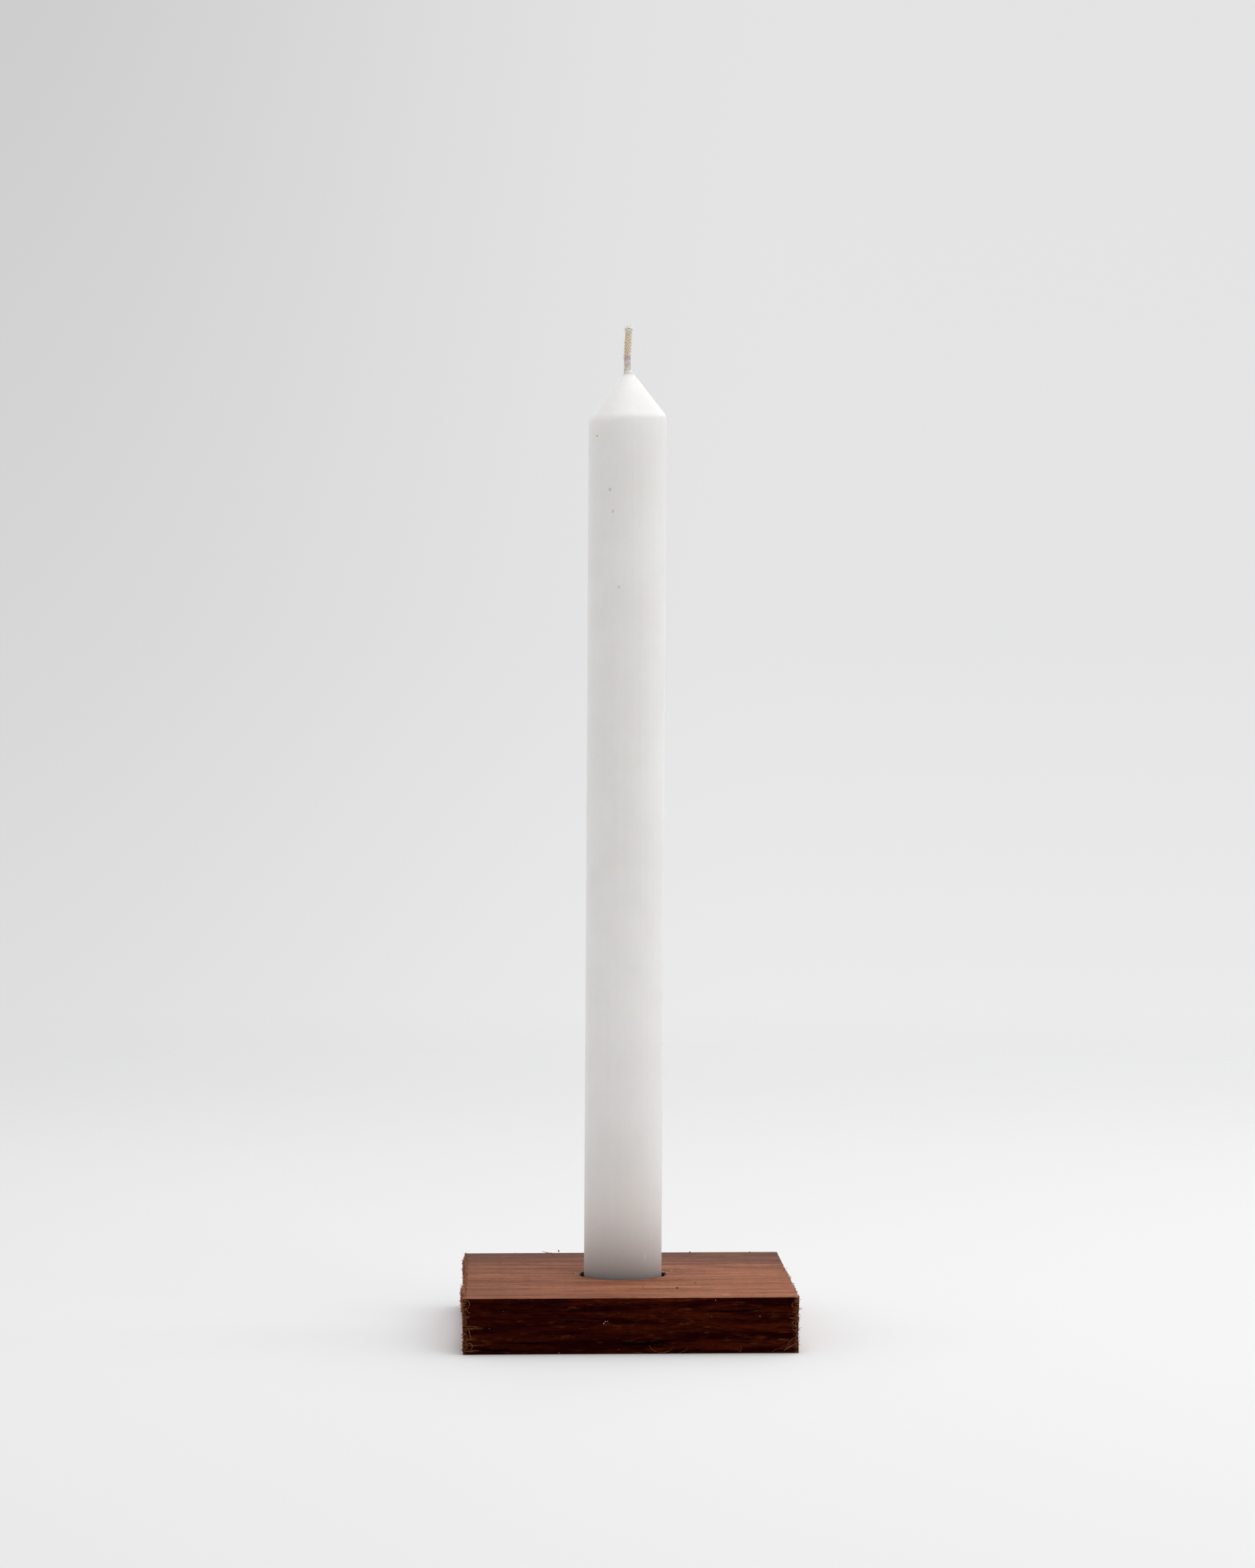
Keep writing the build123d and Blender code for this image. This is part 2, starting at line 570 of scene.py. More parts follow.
@dataclass(frozen=True)
class DarkEdge:
    """The block's long edges: almost black crimson heartwood with faint ochre streaks."""

    heart: Colour = tone(0.0120, 0.0004, 0.0007)
    warm: Colour = tone(0.052, 0.0068, 0.0017)
    ochre: Colour = tone(0.105, 0.025, 0.0052)
    black: Colour = tone(0.0012, 0.0003, 0.0004)
    torn: Colour = tone(0.215, 0.083, 0.034)
    fleck: Colour = tone(0.38, 0.28, 0.23)
    tears: tuple[Mark, ...] = (
        tear(-44.2, 7.3, 4.4, 0.95, 0.95),
        tear(-44.6, 4.2, 3.4, 0.40, 0.85),
        tear(-43.8, 2.6, 4.2, 0.30, 0.80),
        tear(-44.0, 1.0, 3.8, 0.45, 0.70),
        tear(-45.2, 10.4, 1.7, 0.60, 0.80),
        tear(42.6, 3.8, 2.6, 0.55, 0.55),
        tear(43.6, 1.6, 3.2, 0.90, 0.45),
        tear(45.0, 8.2, 1.8, 2.2, 0.45),
        tear(45.2, 13.2, 1.6, 1.6, 0.50),
    )

    def build(self) -> Material:
        """Wires the finish and gives its material.

        Returns:
            The material.
        """
        s = Surface("dark_oiled_edge")
        along, _, height = s.split(s.place)
        drift = s.swing(s.noise(s.place, 50.0), 60 * MM)
        along_and_up = s.plus(along, s.times(height, 1.6))
        lighter = s.remap(s.plus(along_and_up, drift), -6 * MM, 48 * MM)
        base = s.remap(s.grain(2.4 * MM, 12.0, 0.5 * MM, 4.0), 0.38, 0.64)
        weight = s.remap(lighter, 0.0, 1.0, 0.5, 0.9, smooth=False)
        colour = s.blend(s.times(base, weight), self.heart, self.warm)
        level = s.remap(lighter, 0.0, 1.0, 0.555, 0.525, smooth=False)
        patches = s.mask(blotches(), Width=1.0 * MM, Stretch=5.0, Level=level, Softness=0.25)
        colour = s.lay(colour, self.ochre, patches, 0.7)
        streaks = s.mask(blotches(), Width=1.1 * MM, Stretch=13.0, Level=0.55, Softness=0.16)
        colour = s.lay(colour, self.black, streaks, 0.9)
        fibres = s.grain(0.16 * MM, 18.0)
        colour = s.shade(colour, fibres, 0.65, 1.35)
        colour = s.shade(colour, s.grain(0.55 * MM, 5.0, detail=4.0), 0.55, 1.5)
        torn = s.mask(end_fringe(), Reach=1.1 * MM, Strands=1.6 * MM)
        for tear in self.tears:
            torn = s.larger(torn, s.spot(tear, 0.9))
        ragged = s.remap(s.grain(0.3 * MM, 7.0), 0.38, 0.60)
        mottle = s.remap(s.noise(s.place, 2200.0, 4.0, 0.65), 0.36, 0.60)
        torn = s.times(torn, s.times(ragged, mottle))
        colour = s.lay(colour, self.torn, torn)
        middle = BLOCK_HEIGHT / 2
        off_middle = s.math("ABSOLUTE", s.minus(height, middle))
        rim = s.remap(off_middle, middle - 0.3 * MM, middle - 0.05 * MM)
        colour = s.lay(colour, self.ochre, rim, 0.6)
        specks = s.mask(flecks(), Spacing=4.5 * MM, Size=0.16 * MM, Share=0.16)
        colour = s.lay(colour, self.fleck, specks)
        s.set(Base_Color=colour)
        s.sheen(fibres, 0.55, 0.8, 0.008, smooth=False)
        s.bump(s.minus(fibres, streaks), 0.08 * MM, 0.8)
        return s.material


@dataclass(frozen=True)
class SawnEnd:
    """The block's ends, cut across the grain by a coarse saw: arched growth rings, pores and saw marks."""

    light: Colour = tone(0.29, 0.118, 0.064)
    dark: Colour = tone(0.135, 0.044, 0.025)
    pore: Colour = tone(0.040, 0.012, 0.008)
    tan: Colour = tone(0.40, 0.185, 0.100)
    ring_width: float = 2.6 * MM
    heart_y: float = 24 * MM  # the middle of the tree, below and behind the block
    heart_z: float = -64 * MM

    def build(self) -> Material:
        """Wires the finish and gives its material.

        Returns:
            The material.
        """
        s = Surface("sawn_end_grain")
        _, y, z = s.split(s.place)
        out = s.vector("SUBTRACT", s.xyz(0.0, y, z), (0.0, self.heart_y, self.heart_z))
        wander = s.times(s.noise(s.place, 60.0, 2.0), 2.5 * MM)
        radius = s.plus(s.vector("LENGTH", out), wander)
        rings = s.noise(s.xyz(s.over(radius, self.ring_width), 0.0, 0.0), 1.0, 4.0, 0.6)
        colour = s.blend(s.remap(rings, 0.34, 0.66), self.dark, self.light)
        saw = s.noise(s.vector("MULTIPLY", s.place, (0.0, 1300.0, 70.0)), 1.0, 3.0)
        colour = s.shade(colour, saw, 0.82, 1.16)
        fine = s.noise(s.place, 3600.0, 4.0, 0.65)
        fuzzy = s.remap(s.noise(s.place, 420.0, 5.0, 0.7), 0.45, 0.68)
        colour = s.lay(colour, self.tan, fuzzy, 0.45)
        pores = s.mask(open_pores(), Width=0.55 * MM, Stretch=1.0, Share=0.5)
        colour = s.lay(colour, self.pore, pores, 0.6)
        colour = s.shade(colour, fine, 0.7, 1.3)
        s.set(Base_Color=colour)
        s.sheen(fine, 0.75, 0.95, 0.05)
        relief = s.plus(s.times(saw, 0.5), fine)
        s.bump(s.minus(relief, pores), 0.16 * MM)
        return s.material


@dataclass(frozen=True)
class BoredWall:
    """The socket's wall and floor: turned marks from the bit, dark below a pale torn lip."""

    wall: Colour = tone(0.060, 0.015, 0.009)
    lip: Colour = tone(0.42, 0.27, 0.18)
    top: float = BLOCK_HEIGHT

    def build(self) -> Material:
        """Wires the finish and gives its material.

        Returns:
            The material.
        """
        s = Surface("bored_socket")
        height = s.split(s.place)[2]
        rings = s.noise(s.vector("MULTIPLY", s.place, (60.0, 60.0, 2400.0)), 1.0)
        colour = s.shade(self.wall, rings, 0.6, 1.5)
        ragged = s.times(s.noise(s.place, 900.0, 3.0), 0.7 * MM)
        pale = s.remap(s.plus(height, ragged), self.top + 0.05 * MM, self.top + 0.45 * MM)
        colour = s.lay(colour, self.lip, pale)
        s.set(Base_Color=colour)
        s.sheen(rings, 0.6, 0.85, 0.1)
        s.bump(rings, 0.08 * MM)
        return s.material


@dataclass(frozen=True)
class TornFibre:
    """Loose wood fibre, each strand with its own tint, darker where it lies on the dark edges."""

    dark: Colour = tone(0.14, 0.040, 0.019)
    light: Colour = tone(0.52, 0.225, 0.118)
    oiled_dark: Colour = tone(0.050, 0.015, 0.007)
    oiled_light: Colour = tone(0.260, 0.093, 0.038)
    oiled_side: float = BLOCK_WIDTH / 2 - 0.15 * MM  # the stained edges lie beyond this, on either side

    def build(self) -> Material:
        """Wires the finish and gives its material.

        Returns:
            The material.
        """
        s = Surface("torn_wood_fibre")
        beyond = s.minus(s.math("ABSOLUTE", s.split(s.place)[1]), self.oiled_side)
        oiled = s.remap(beyond, 0.0, 0.2 * MM)
        dark = s.blend(oiled, self.dark, self.oiled_dark)
        light = s.blend(oiled, self.light, self.oiled_light)
        tint = s.add("ShaderNodeAttribute", attribute_name="tint").outputs["Fac"]
        patchy = s.noise(s.place, 1800.0, 4.0, 0.65)
        uneven = s.remap(patchy, 0.32, 0.68, -0.35, 0.45, smooth=False)
        shade = s.math("ADD", s.times(tint, 0.8), uneven, clamp=True)
        s.set(Base_Color=s.blend(shade, dark, light))
        s.sheen(patchy, 0.65, 0.9, 0.03)
        s.bump(s.noise(s.place, 9000.0), 0.02 * MM)
        return s.material


@dataclass(frozen=True)
class WhiteWax:
    """Paraffin wax: white, a little translucent, satin, with faint drawn streaks up the column; painted shade
    and grime darken it above the socket.
    """

    body: Colour = tone(0.868, 0.858, 0.842)
    milky: Colour = tone(0.895, 0.89, 0.878)
    dent: Colour = tone(0.70, 0.68, 0.655)
    bruise: Colour = tone(0.33, 0.28, 0.25)
    # painted shade with some grime: the colour the wax darkens to near its foot
    dingy: Colour = tone(0.29, 0.262, 0.256)
    socket_floor: float = BLOCK_HEIGHT - SOCKET_DEPTH
    dingy_foot: float = 15 * MM
    dingy_fade: float = 7.5 * MM  # the painted shade and grime fall off by the same share over every such height
    depth: float = 5 * MM
    marks: tuple[Mark, ...] = (
        Mark((-8.1, -6.4, 252.6), (0.3, 2.0, 0.3), 1.0),
        Mark((-4.6, -8.9, 237.5), (0.5, 2.0, 0.7), 0.35),
        Mark((-3.8, -9.2, 231.4), (0.4, 2.0, 0.6), 0.3),
        Mark((-2.1, -9.7, 210.2), (0.35, 2.0, 0.45), 0.4),
        Mark((3.4, -5.0, 260.4), (0.7, 9.0, 0.5), 0.09),
    )
    scratch: Mark = Mark((5.3, -8.5, 21.6), (0.22, 2.0, 1.3), 0.4)

    def build(self) -> Material:
        """Wires the finish and gives its material.

        Returns:
            The material.
        """
        s = Surface("white_wax")
        cloud = s.noise(s.place, 55.0, 3.0)
        drawn = s.noise(s.vector("MULTIPLY", s.place, (900.0, 900.0, 9.0)), 1.0, 2.0)
        fine = s.noise(s.place, 2500.0, 2.0)
        colour = s.blend(s.remap(cloud, 0.35, 0.65), self.body, self.milky)
        colour = s.shade(colour, drawn, 0.99, 1.007)
        height = s.split(s.place)[2]
        # painted shade with some grime: darkest just above the socket, fading up the column and, more weakly,
        # down into the socket
        rise = s.larger(s.minus(height, self.dingy_foot), 0.0)
        grime_and_shade = s.math("EXPONENT", s.over(rise, -self.dingy_fade))
        fainter = s.remap(height, self.socket_floor, self.dingy_foot - 1 * MM, 0.3, 1.0)
        grime_and_shade = s.times(grime_and_shade, fainter)
        colour = s.lay(colour, self.dingy, grime_and_shade)
        pits = s.mask(flecks(), Spacing=14 * MM, Size=0.28 * MM, Share=0.22)
        colour = s.lay(colour, self.dent, pits, 0.5)
        for mark in self.marks:
            colour = s.lay(colour, self.bruise, s.spot(mark))
        colour = s.lay(colour, self.milky, s.spot(self.scratch))
        gloss = s.plus(s.times(cloud, 0.12), s.times(fine, 0.10))
        s.set(Base_Color=colour, Roughness=s.plus(gloss, 0.36), Specular_IOR_Level=0.35)
        s.glow(1.0, WAX_DEPTHS, self.depth)
        relief = s.plus(s.times(drawn, 0.35), s.times(fine, 0.25))
        s.bump(s.minus(relief, pits), 0.03 * MM)
        return s.material


@dataclass(frozen=True)
class CottonYarn:
    """Cotton yarn of the wick: straw and cream where it is bare, paler at the opened end."""

    cream: Colour = tone(0.94, 0.80, 0.62)
    straw: Colour = tone(0.89, 0.69, 0.49)
    pale: Colour = tone(0.95, 0.86, 0.74)
    waxed: Colour = tone(0.70, 0.58, 0.50)
    pale_start: float = 281 * MM
    waxed_end: float = 275.3 * MM

    def build(self) -> Material:
        """Wires the finish and gives its material.

        Returns:
            The material.
        """
        s = Surface("cotton_yarn")
        height = s.split(s.place)[2]
        patchy = s.noise(s.place, 900.0, 3.0)
        hairs = s.noise(s.place, 7000.0, 2.0)
        colour = s.blend(patchy, self.straw, self.cream)
        uneven = s.plus(height, s.swing(patchy, 1.6 * MM))
        colour = s.lay(colour, self.pale, s.remap(uneven, self.pale_start, self.pale_start + 1.6 * MM))
        coated = s.remap(uneven, self.waxed_end - 0.8 * MM, self.waxed_end + 0.8 * MM, 1.0, 0.0)
        colour = s.shade(s.blend(coated, colour, self.waxed), hairs, 0.86, 1.12)
        s.set(Base_Color=colour)
        s.sheen(hairs, 0.75, 0.95, 0.15)
        s.glow(0.4, COTTON_DEPTHS, 0.6 * MM)
        s.bump(hairs, 0.03 * MM)
        return s.material


@dataclass(frozen=True)
class WaxSkin:
    """Wax that has climbed the wick: greyish and half clear over the yarn, whiter on the high spots."""

    grey: Colour = tone(0.72, 0.62, 0.56)
    white: Colour = tone(0.86, 0.82, 0.78)
    clean: Colour = tone(0.868, 0.858, 0.842)
    cone_top: float = 270.6 * MM

    def build(self) -> Material:
        """Wires the finish and gives its material.

        Returns:
            The material.
        """
        s = Surface("wax_on_wick")
        height = s.split(s.place)[2]
        near_cone = s.remap(height, self.cone_top + 0.1 * MM, self.cone_top + 1.3 * MM, 1.0, 0.0)
        lumps = s.noise(s.place, 2000.0, 3.0, 0.6)
        fine = s.noise(s.place, 6000.0, 2.0)
        colour = s.blend(s.remap(lumps, 0.44, 0.66), self.grey, self.white)
        s.set(Base_Color=s.blend(near_cone, colour, self.clean))
        s.sheen(fine, 0.45, 0.65, 0.3)
        s.glow(0.6, WAX_DEPTHS, 0.9 * MM)
        s.bump(s.plus(lumps, fine), 0.08 * MM)
        return s.material


@dataclass(frozen=True)
class PaleDust:
    """Small flecks of wax and dust that lie on the wood."""

    colour: Colour = tone(0.58, 0.50, 0.45)

    def build(self) -> Material:
        """Wires the finish and gives its material.

        Returns:
            The material.
        """
        s = Surface("pale_dust")
        patchy = s.noise(s.place, 4000.0, 2.0)
        s.set(Base_Color=s.shade(self.colour, patchy, 0.75, 1.15))
        s.sheen(patchy, 0.6, 0.85, 0.5)
        s.bump(patchy, 0.03 * MM)
        return s.material


# ------------------------------------------------------------------ meshes


class Side(IntEnum):
    """The block's finishes, in the order of its materials."""

    PLANED = 0
    EDGE = 1
    SAWN = 2
    BORED = 3


class Draft:
    """Points and faces gathered for one mesh, with a finish number for each face."""

    def __init__(self) -> None:
        """Starts with nothing."""
        self.points: list[Vector] = []
        self.faces: list[tuple[int, ...]] = []
        self.finishes: list[int] = []

    def point(self, place: Vector) -> int:
        """Adds a point and gives its number."""
        self.points.append(place)
        return len(self.points) - 1

    def face(self, corners: Sequence[int], finish: int = 0) -> None:
        """Adds a face with its corners in order."""
        self.faces.append(tuple(corners))
        self.finishes.append(finish)

    def ring(self, places: Sequence[Vector]) -> list[int]:
        """Adds a loop of points and gives their numbers."""
        return [self.point(place) for place in places]

    def bridge(self, lower: Sequence[int], upper: Sequence[int], finish: int = 0) -> None:
        """Closes the gap between two loops of as many points with a band of quads.

        Args:
            lower: one loop.
            upper: the other.
            finish: the faces' finish number.
        """
        count = len(lower)
        for k in range(count):
            after = (k + 1) % count
            self.face((lower[k], lower[after], upper[after], upper[k]), finish)

    def fan(self, loop: Sequence[int], centre: Vector, finish: int = 0) -> None:
        """Closes a loop with triangles to a centre point.

        Args:
            loop: the loop.
            centre: where the triangles meet.
            finish: their finish number.
        """
        hub = self.point(centre)
        for k in range(len(loop)):
            self.face((loop[k], loop[(k + 1) % len(loop)], hub), finish)

    def stack(
        self, loops: Sequence[Sequence[int]], foot: Vector | None = None, head: Vector | None = None
    ) -> None:
        """Joins loops of points from the lowest up.

        Args:
            loops: the loops, each of as many points.
            foot: where the lowest loop closes, if it does.
            head: where the highest loop closes, if it does.
        """
        for lower, upper in zip(loops, loops[1:]):
            self.bridge(lower, upper)
        if foot is not None:
            self.fan(list(reversed(loops[0])), foot)
        if head is not None:
            self.fan(loops[-1], head)

    def mesh(self, name: str, materials: Sequence[Material], sharp: float = 50.0) -> Mesh:
        """Makes the mesh, with its faces turned outward.

        Args:
            name: the mesh's name.
            materials: the finishes, in the order of the faces' numbers.
            sharp: edges that turn by more than this many degrees stay crisp.

        Returns:
            The new mesh.
        """
        mesh = bpy.data.meshes.new(name)
        mesh.from_pydata(self.points, [], self.faces)
        mesh.polygons.foreach_set("material_index", self.finishes)
        for material in materials:
            mesh.materials.append(material)
        work = bmesh.new()
        work.from_mesh(mesh)
        bmesh.ops.recalc_face_normals(work, faces=work.faces)
        work.to_mesh(mesh)
        work.free()
        mesh.shade_smooth()
        mesh.set_sharp_from_angle(angle=math.radians(sharp))
        return mesh


def around(count: int) -> list[Vector]:
    """Directions spaced evenly round the Z axis."""
    turns = [math.tau * k / count for k in range(count)]
    return [Vector((math.cos(turn), math.sin(turn), 0.0)) for turn in turns]


def show(name: str, mesh: Mesh) -> Object:
    """Puts a mesh in the scene as an object at the origin.

    Args:
        name: the piece's name.
        mesh: its mesh, with its place in it.

    Returns:
        The piece's object.
    """
    mesh.name = name
    piece = bpy.data.objects.new(name, mesh)
    bpy.context.scene.collection.objects.link(piece)
    return piece


def grow(tree: Tree, seedbed: Mesh | bpy.types.Curve, values: Inputs) -> Mesh:
    """Runs a geometry node tree on a mesh or curve and gives the result as a plain mesh.

    Args:
        tree: the tree, whose first input is the geometry.
        seedbed: what the tree starts from.
        values: the tree's other inputs by name.

    Returns:
        The grown mesh.
    """
    carrier = bpy.data.objects.new("seedbed", seedbed)
    bpy.context.scene.collection.objects.link(carrier)
    modifier = carrier.modifiers.new("grow", "NODES")
    modifier.node_group = tree
    sockets = [item for item in tree.interface.items_tree if item.in_out == "INPUT"]
    identifiers = {socket.name: socket.identifier for socket in sockets}
    for name, value in values.items():
        modifier[identifiers[name]] = value
    depsgraph = bpy.context.evaluated_depsgraph_get()
    grown = bpy.data.meshes.new_from_object(carrier.evaluated_get(depsgraph), depsgraph=depsgraph)
    carrier.modifiers.clear()
    bpy.data.objects.remove(carrier)
    return grown


def ripple(place: Vector, size: float, seed: float = 0.0) -> float:
    """Smooth noise from about -1 to 1 whose lumps are about size metres across."""
    return noise.noise(place / size + Vector((seed, seed * 1.7, -seed)))


def ease(value: float) -> float:
    """Carries 0 to 1 smoothly and holds it there."""
    value = min(1.0, max(0.0, value))
    return value * value * (3.0 - 2.0 * value)


def spread(*stretches: tuple[float, float, float]) -> list[float]:
    """Grid lines through each stretch in turn.

    Args:
        *stretches: each stretch's start, end and widest spacing, end to end.

    Returns:
        The places of the lines, rising.
    """
    lines = [stretches[0][0]]
    for start, end, step in stretches:
        count = max(1, math.ceil((end - start) / step - 1e-6))
        lines += [start + (end - start) * k / count for k in range(1, count + 1)]
    return lines


# ------------------------------------------------------------------ geometry node trees


def finish_tree(tree: Group, geometry: Socket) -> Tree:
    """Ends a geometry tree in plain mesh that carries its Finish input.

    Args:
        tree: the tree in the making.
        geometry: what it has made.

    Returns:
        The finished node tree.
    """
    plain = tree.add("GeometryNodeRealizeInstances", {"Geometry": geometry})
    inputs = {"Geometry": plain.outputs[0], "Material": tree.given["Finish"]}
    tree.feed(tree.result["Geometry"], tree.add("GeometryNodeSetMaterial", inputs).outputs[0])
    return tree.tree


def keep(tree: Group, geometry: Socket, title: str, value: object) -> Socket:
    """Stores a number on every point of a geometry under a name."""
    node = tree.add("GeometryNodeStoreNamedAttribute", {"Geometry": geometry, "Name": title, "Value": value})
    return node.outputs["Geometry"]


def kept(tree: Group, title: str) -> Socket:
    """Reads a number that keep stored."""
    return tree.add("GeometryNodeInputNamedAttribute", {"Name": title}, data_type="FLOAT").outputs[0]


def rod(tree: Group, joints: object) -> Socket:
    """An upright line a metre long, with a number of points."""
    straight = tree.add("GeometryNodeCurvePrimitiveLine", {"End": (0.0, 0.0, 1.0)})
    return tree.add("GeometryNodeResampleCurve", {"Curve": straight.outputs[0], "Count": joints}).outputs[0]


def plant(tree: Group, points: Socket, joints: object, **pose: object) -> Socket:
    """Stands a rod on every point.

    Args:
        tree: the tree in the making.
        points: where the rods stand.
        joints: the number of points in each.
        **pose: their Rotation and Scale, if they differ.

    Returns:
        The rods as real curves.
    """
    planting = {"Points": points, "Instance": rod(tree, joints), **pose}
    rods = tree.add("GeometryNodeInstanceOnPoints", planting)
    return tree.add("GeometryNodeRealizeInstances", {"Geometry": rods.outputs[0]}).outputs[0]


def lump_noise(tree: Group, size: object, detail: float) -> bpy.types.Node:
    """A noise of each point's place, whose lumps are about size metres across.

    Args:
        tree: the tree in the making.
        size: how large the lumps are, in metres.
        detail: the noise's detail.

    Returns:
        The noise node.
    """
    place = tree.add("GeometryNodeInputPosition").outputs[0]
    scaled = tree.vector("SCALE", place, scale=tree.over(1.0, size))
    return tree.add("ShaderNodeTexNoise", {"Vector": scaled, "Scale": 1.0, "Detail": detail})


def disc(tree: Group, sides: int, radius: float = 1.0) -> Socket:
    """The outline of a round section."""
    return tree.add("GeometryNodeCurvePrimitiveCircle", {"Resolution": sides, "Radius": radius}).outputs[0]


def sweep_along(tree: Group, paths: Socket, section: Socket, size: Socket) -> Socket:
    """Carries a section along paths, scaled by a size at each point, and closes the ends."""
    inputs = {"Curve": paths, "Profile Curve": section, "Scale": size, "Fill Caps": True}
    return tree.add("GeometryNodeCurveToMesh", inputs).outputs[0]


@cache
def fibre_tree() -> Tree:
    """Loose strands that stand on the faces of a mesh, each bent its own way and tapered to a tip.

    Returns:
        The finished tree.
    """
    inputs = {
        "Seedbed": Kind.GEOMETRY,
        "Density": 1.0e6,
        "Shortest": 0.4 * MM,
        "Longest": 1.6 * MM,
        "Root Radius": 0.07 * MM,
        "Rise": 0.5,
        "Curl": 0.8,
        "Curl Size": 0.9 * MM,
        "Taper": 0.8,
        "Joints": 7,
        "Seed": 1,
        "Finish": Kind.MATERIAL,
    }
    tree = Group("torn fibres", "GeometryNodeTree", inputs, ("Geometry", Kind.GEOMETRY))
    given = tree.given
    sowing = {"Mesh": given["Seedbed"], "Density": given["Density"], "Seed": given["Seed"]}
    scatter = tree.add("GeometryNodeDistributePointsOnFaces", sowing)
    points = scatter.outputs["Points"]

    def chance(low: object, high: object, salt: int, kind: str = "FLOAT") -> Socket:
        """A random value for each root, between low and high.

        Args:
            low: the lowest value.
            high: the highest.
            salt: what sets this draw apart from the others.
            kind: FLOAT or FLOAT_VECTOR.

        Returns:
            The result's socket.
        """
        first = {"FLOAT": 2, "FLOAT_VECTOR": 0}[kind]
        seed = tree.plus(given["Seed"], float(salt))
        limits = {first: low, first + 1: high, "Seed": seed}
        node = tree.add("FunctionNodeRandomValue", limits, data_type=kind)
        return node.outputs[{"FLOAT": 1, "FLOAT_VECTOR": 0}[kind]]

    skew = tree.math("POWER", chance(0.0, 1.0, 1), 2.0)
    reach = tree.minus(given["Longest"], given["Shortest"])
    length = tree.plus(given["Shortest"], tree.times(reach, skew))
    points = keep(tree, points, "strand_length", length)
    points = keep(tree, points, "tint", chance(0.0, 1.0, 2))
    aside = tree.vector("NORMALIZE", chance((-1.0, -1.0, -1.0), (1.0, 1.0, 1.0), 3, "FLOAT_VECTOR"))
    heading = tree.vector("ADD", tree.vector("SCALE", scatter.outputs["Normal"], scale=given["Rise"]), aside)
    turn = tree.add("FunctionNodeAlignRotationToVector", {"Vector": heading}, axis="Z")
    scale = tree.xyz(length, length, length)
    strands = plant(tree, points, given["Joints"], Rotation=turn.outputs[0], Scale=scale)

    along = tree.add("GeometryNodeSplineParameter").outputs["Factor"]
    known_length = kept(tree, "strand_length")
    place = tree.add("GeometryNodeInputPosition").outputs[0]
    swirl = lump_noise(tree, given["Curl Size"], 1.0).outputs["Color"]
    swirl = tree.vector("SCALE", tree.vector("SUBTRACT", swirl, (0.5, 0.5, 0.5)), scale=3.0)
    sway = tree.times(tree.times(tree.math("POWER", along, 1.2), known_length), given["Curl"])
    bent = tree.vector("ADD", place, tree.vector("SCALE", swirl, scale=sway))
    x, y, z = tree.split(bent)
    above = tree.larger(z, tree.times(given["Root Radius"], 1.2))
    curved = tree.add("GeometryNodeSetPosition", {"Geometry": strands, "Position": tree.xyz(x, y, above)})

    taper = tree.minus(1.0, tree.times(along, given["Taper"]))
    solid = sweep_along(tree, curved.outputs[0], disc(tree, 3), tree.times(given["Root Radius"], taper))
    return finish_tree(tree, solid)


def shaving_tree() -> Tree:
    """Flat or round shavings that follow curves, thinning towards both ends.

    Returns:
        The finished tree.
    """
    inputs = {
        "Paths": Kind.GEOMETRY,
        "Width": 0.4 * MM,
        "Thickness": 0.1 * MM,
        "Kink": 0.16 * MM,
        "Kink Size": 0.5 * MM,
        "Facing": (0.0, -1.0, 0.0),
        "Finish": Kind.MATERIAL,
    }
    tree = Group("shavings", "GeometryNodeTree", inputs, ("Geometry", Kind.GEOMETRY))
    given = tree.given
    facing = {"Curve": given["Paths"], "Normal": given["Facing"]}
    turned = tree.add("GeometryNodeSetCurveNormal", facing, mode="FREE")
    along = tree.add("GeometryNodeSplineParameter").outputs["Factor"]
    ends = tree.times(tree.remap(along, 0.0, 0.2, 0.55, 1.0), tree.remap(along, 0.5, 1.0, 1.0, 0.25))
    kinks = lump_noise(tree, given["Kink Size"], 2.0)
    shift = tree.vector("SUBTRACT", kinks.outputs["Color"], (0.5, 0.5, 0.5))
    shift = tree.vector("SCALE", shift, scale=tree.times(given["Kink"], 2.0))
    kinked = tree.add("GeometryNodeSetPosition", {"Geometry": turned.outputs[0], "Offset": shift})
    uneven = tree.remap(kinks.outputs[0], 0.3, 0.7, 0.55, 1.3, smooth=False)
    size = tree.times(ends, tree.times(uneven, tree.add("GeometryNodeInputRadius").outputs[0]))
    shape = tree.xyz(given["Thickness"], given["Width"], 1.0)
    flat = tree.add("GeometryNodeTransform", {"Geometry": disc(tree, 8, 0.5), "Scale": shape})
    solid = sweep_along(tree, kinked.outputs[0], flat.outputs[0], size)
    index = tree.add("GeometryNodeInputMeshIsland").outputs[0]
    tint = tree.add("FunctionNodeRandomValue", {2: 0.2, 3: 0.95, "ID": index, "Seed": 5}, data_type="FLOAT")
    return finish_tree(tree, keep(tree, solid, "tint", tint.outputs[1]))


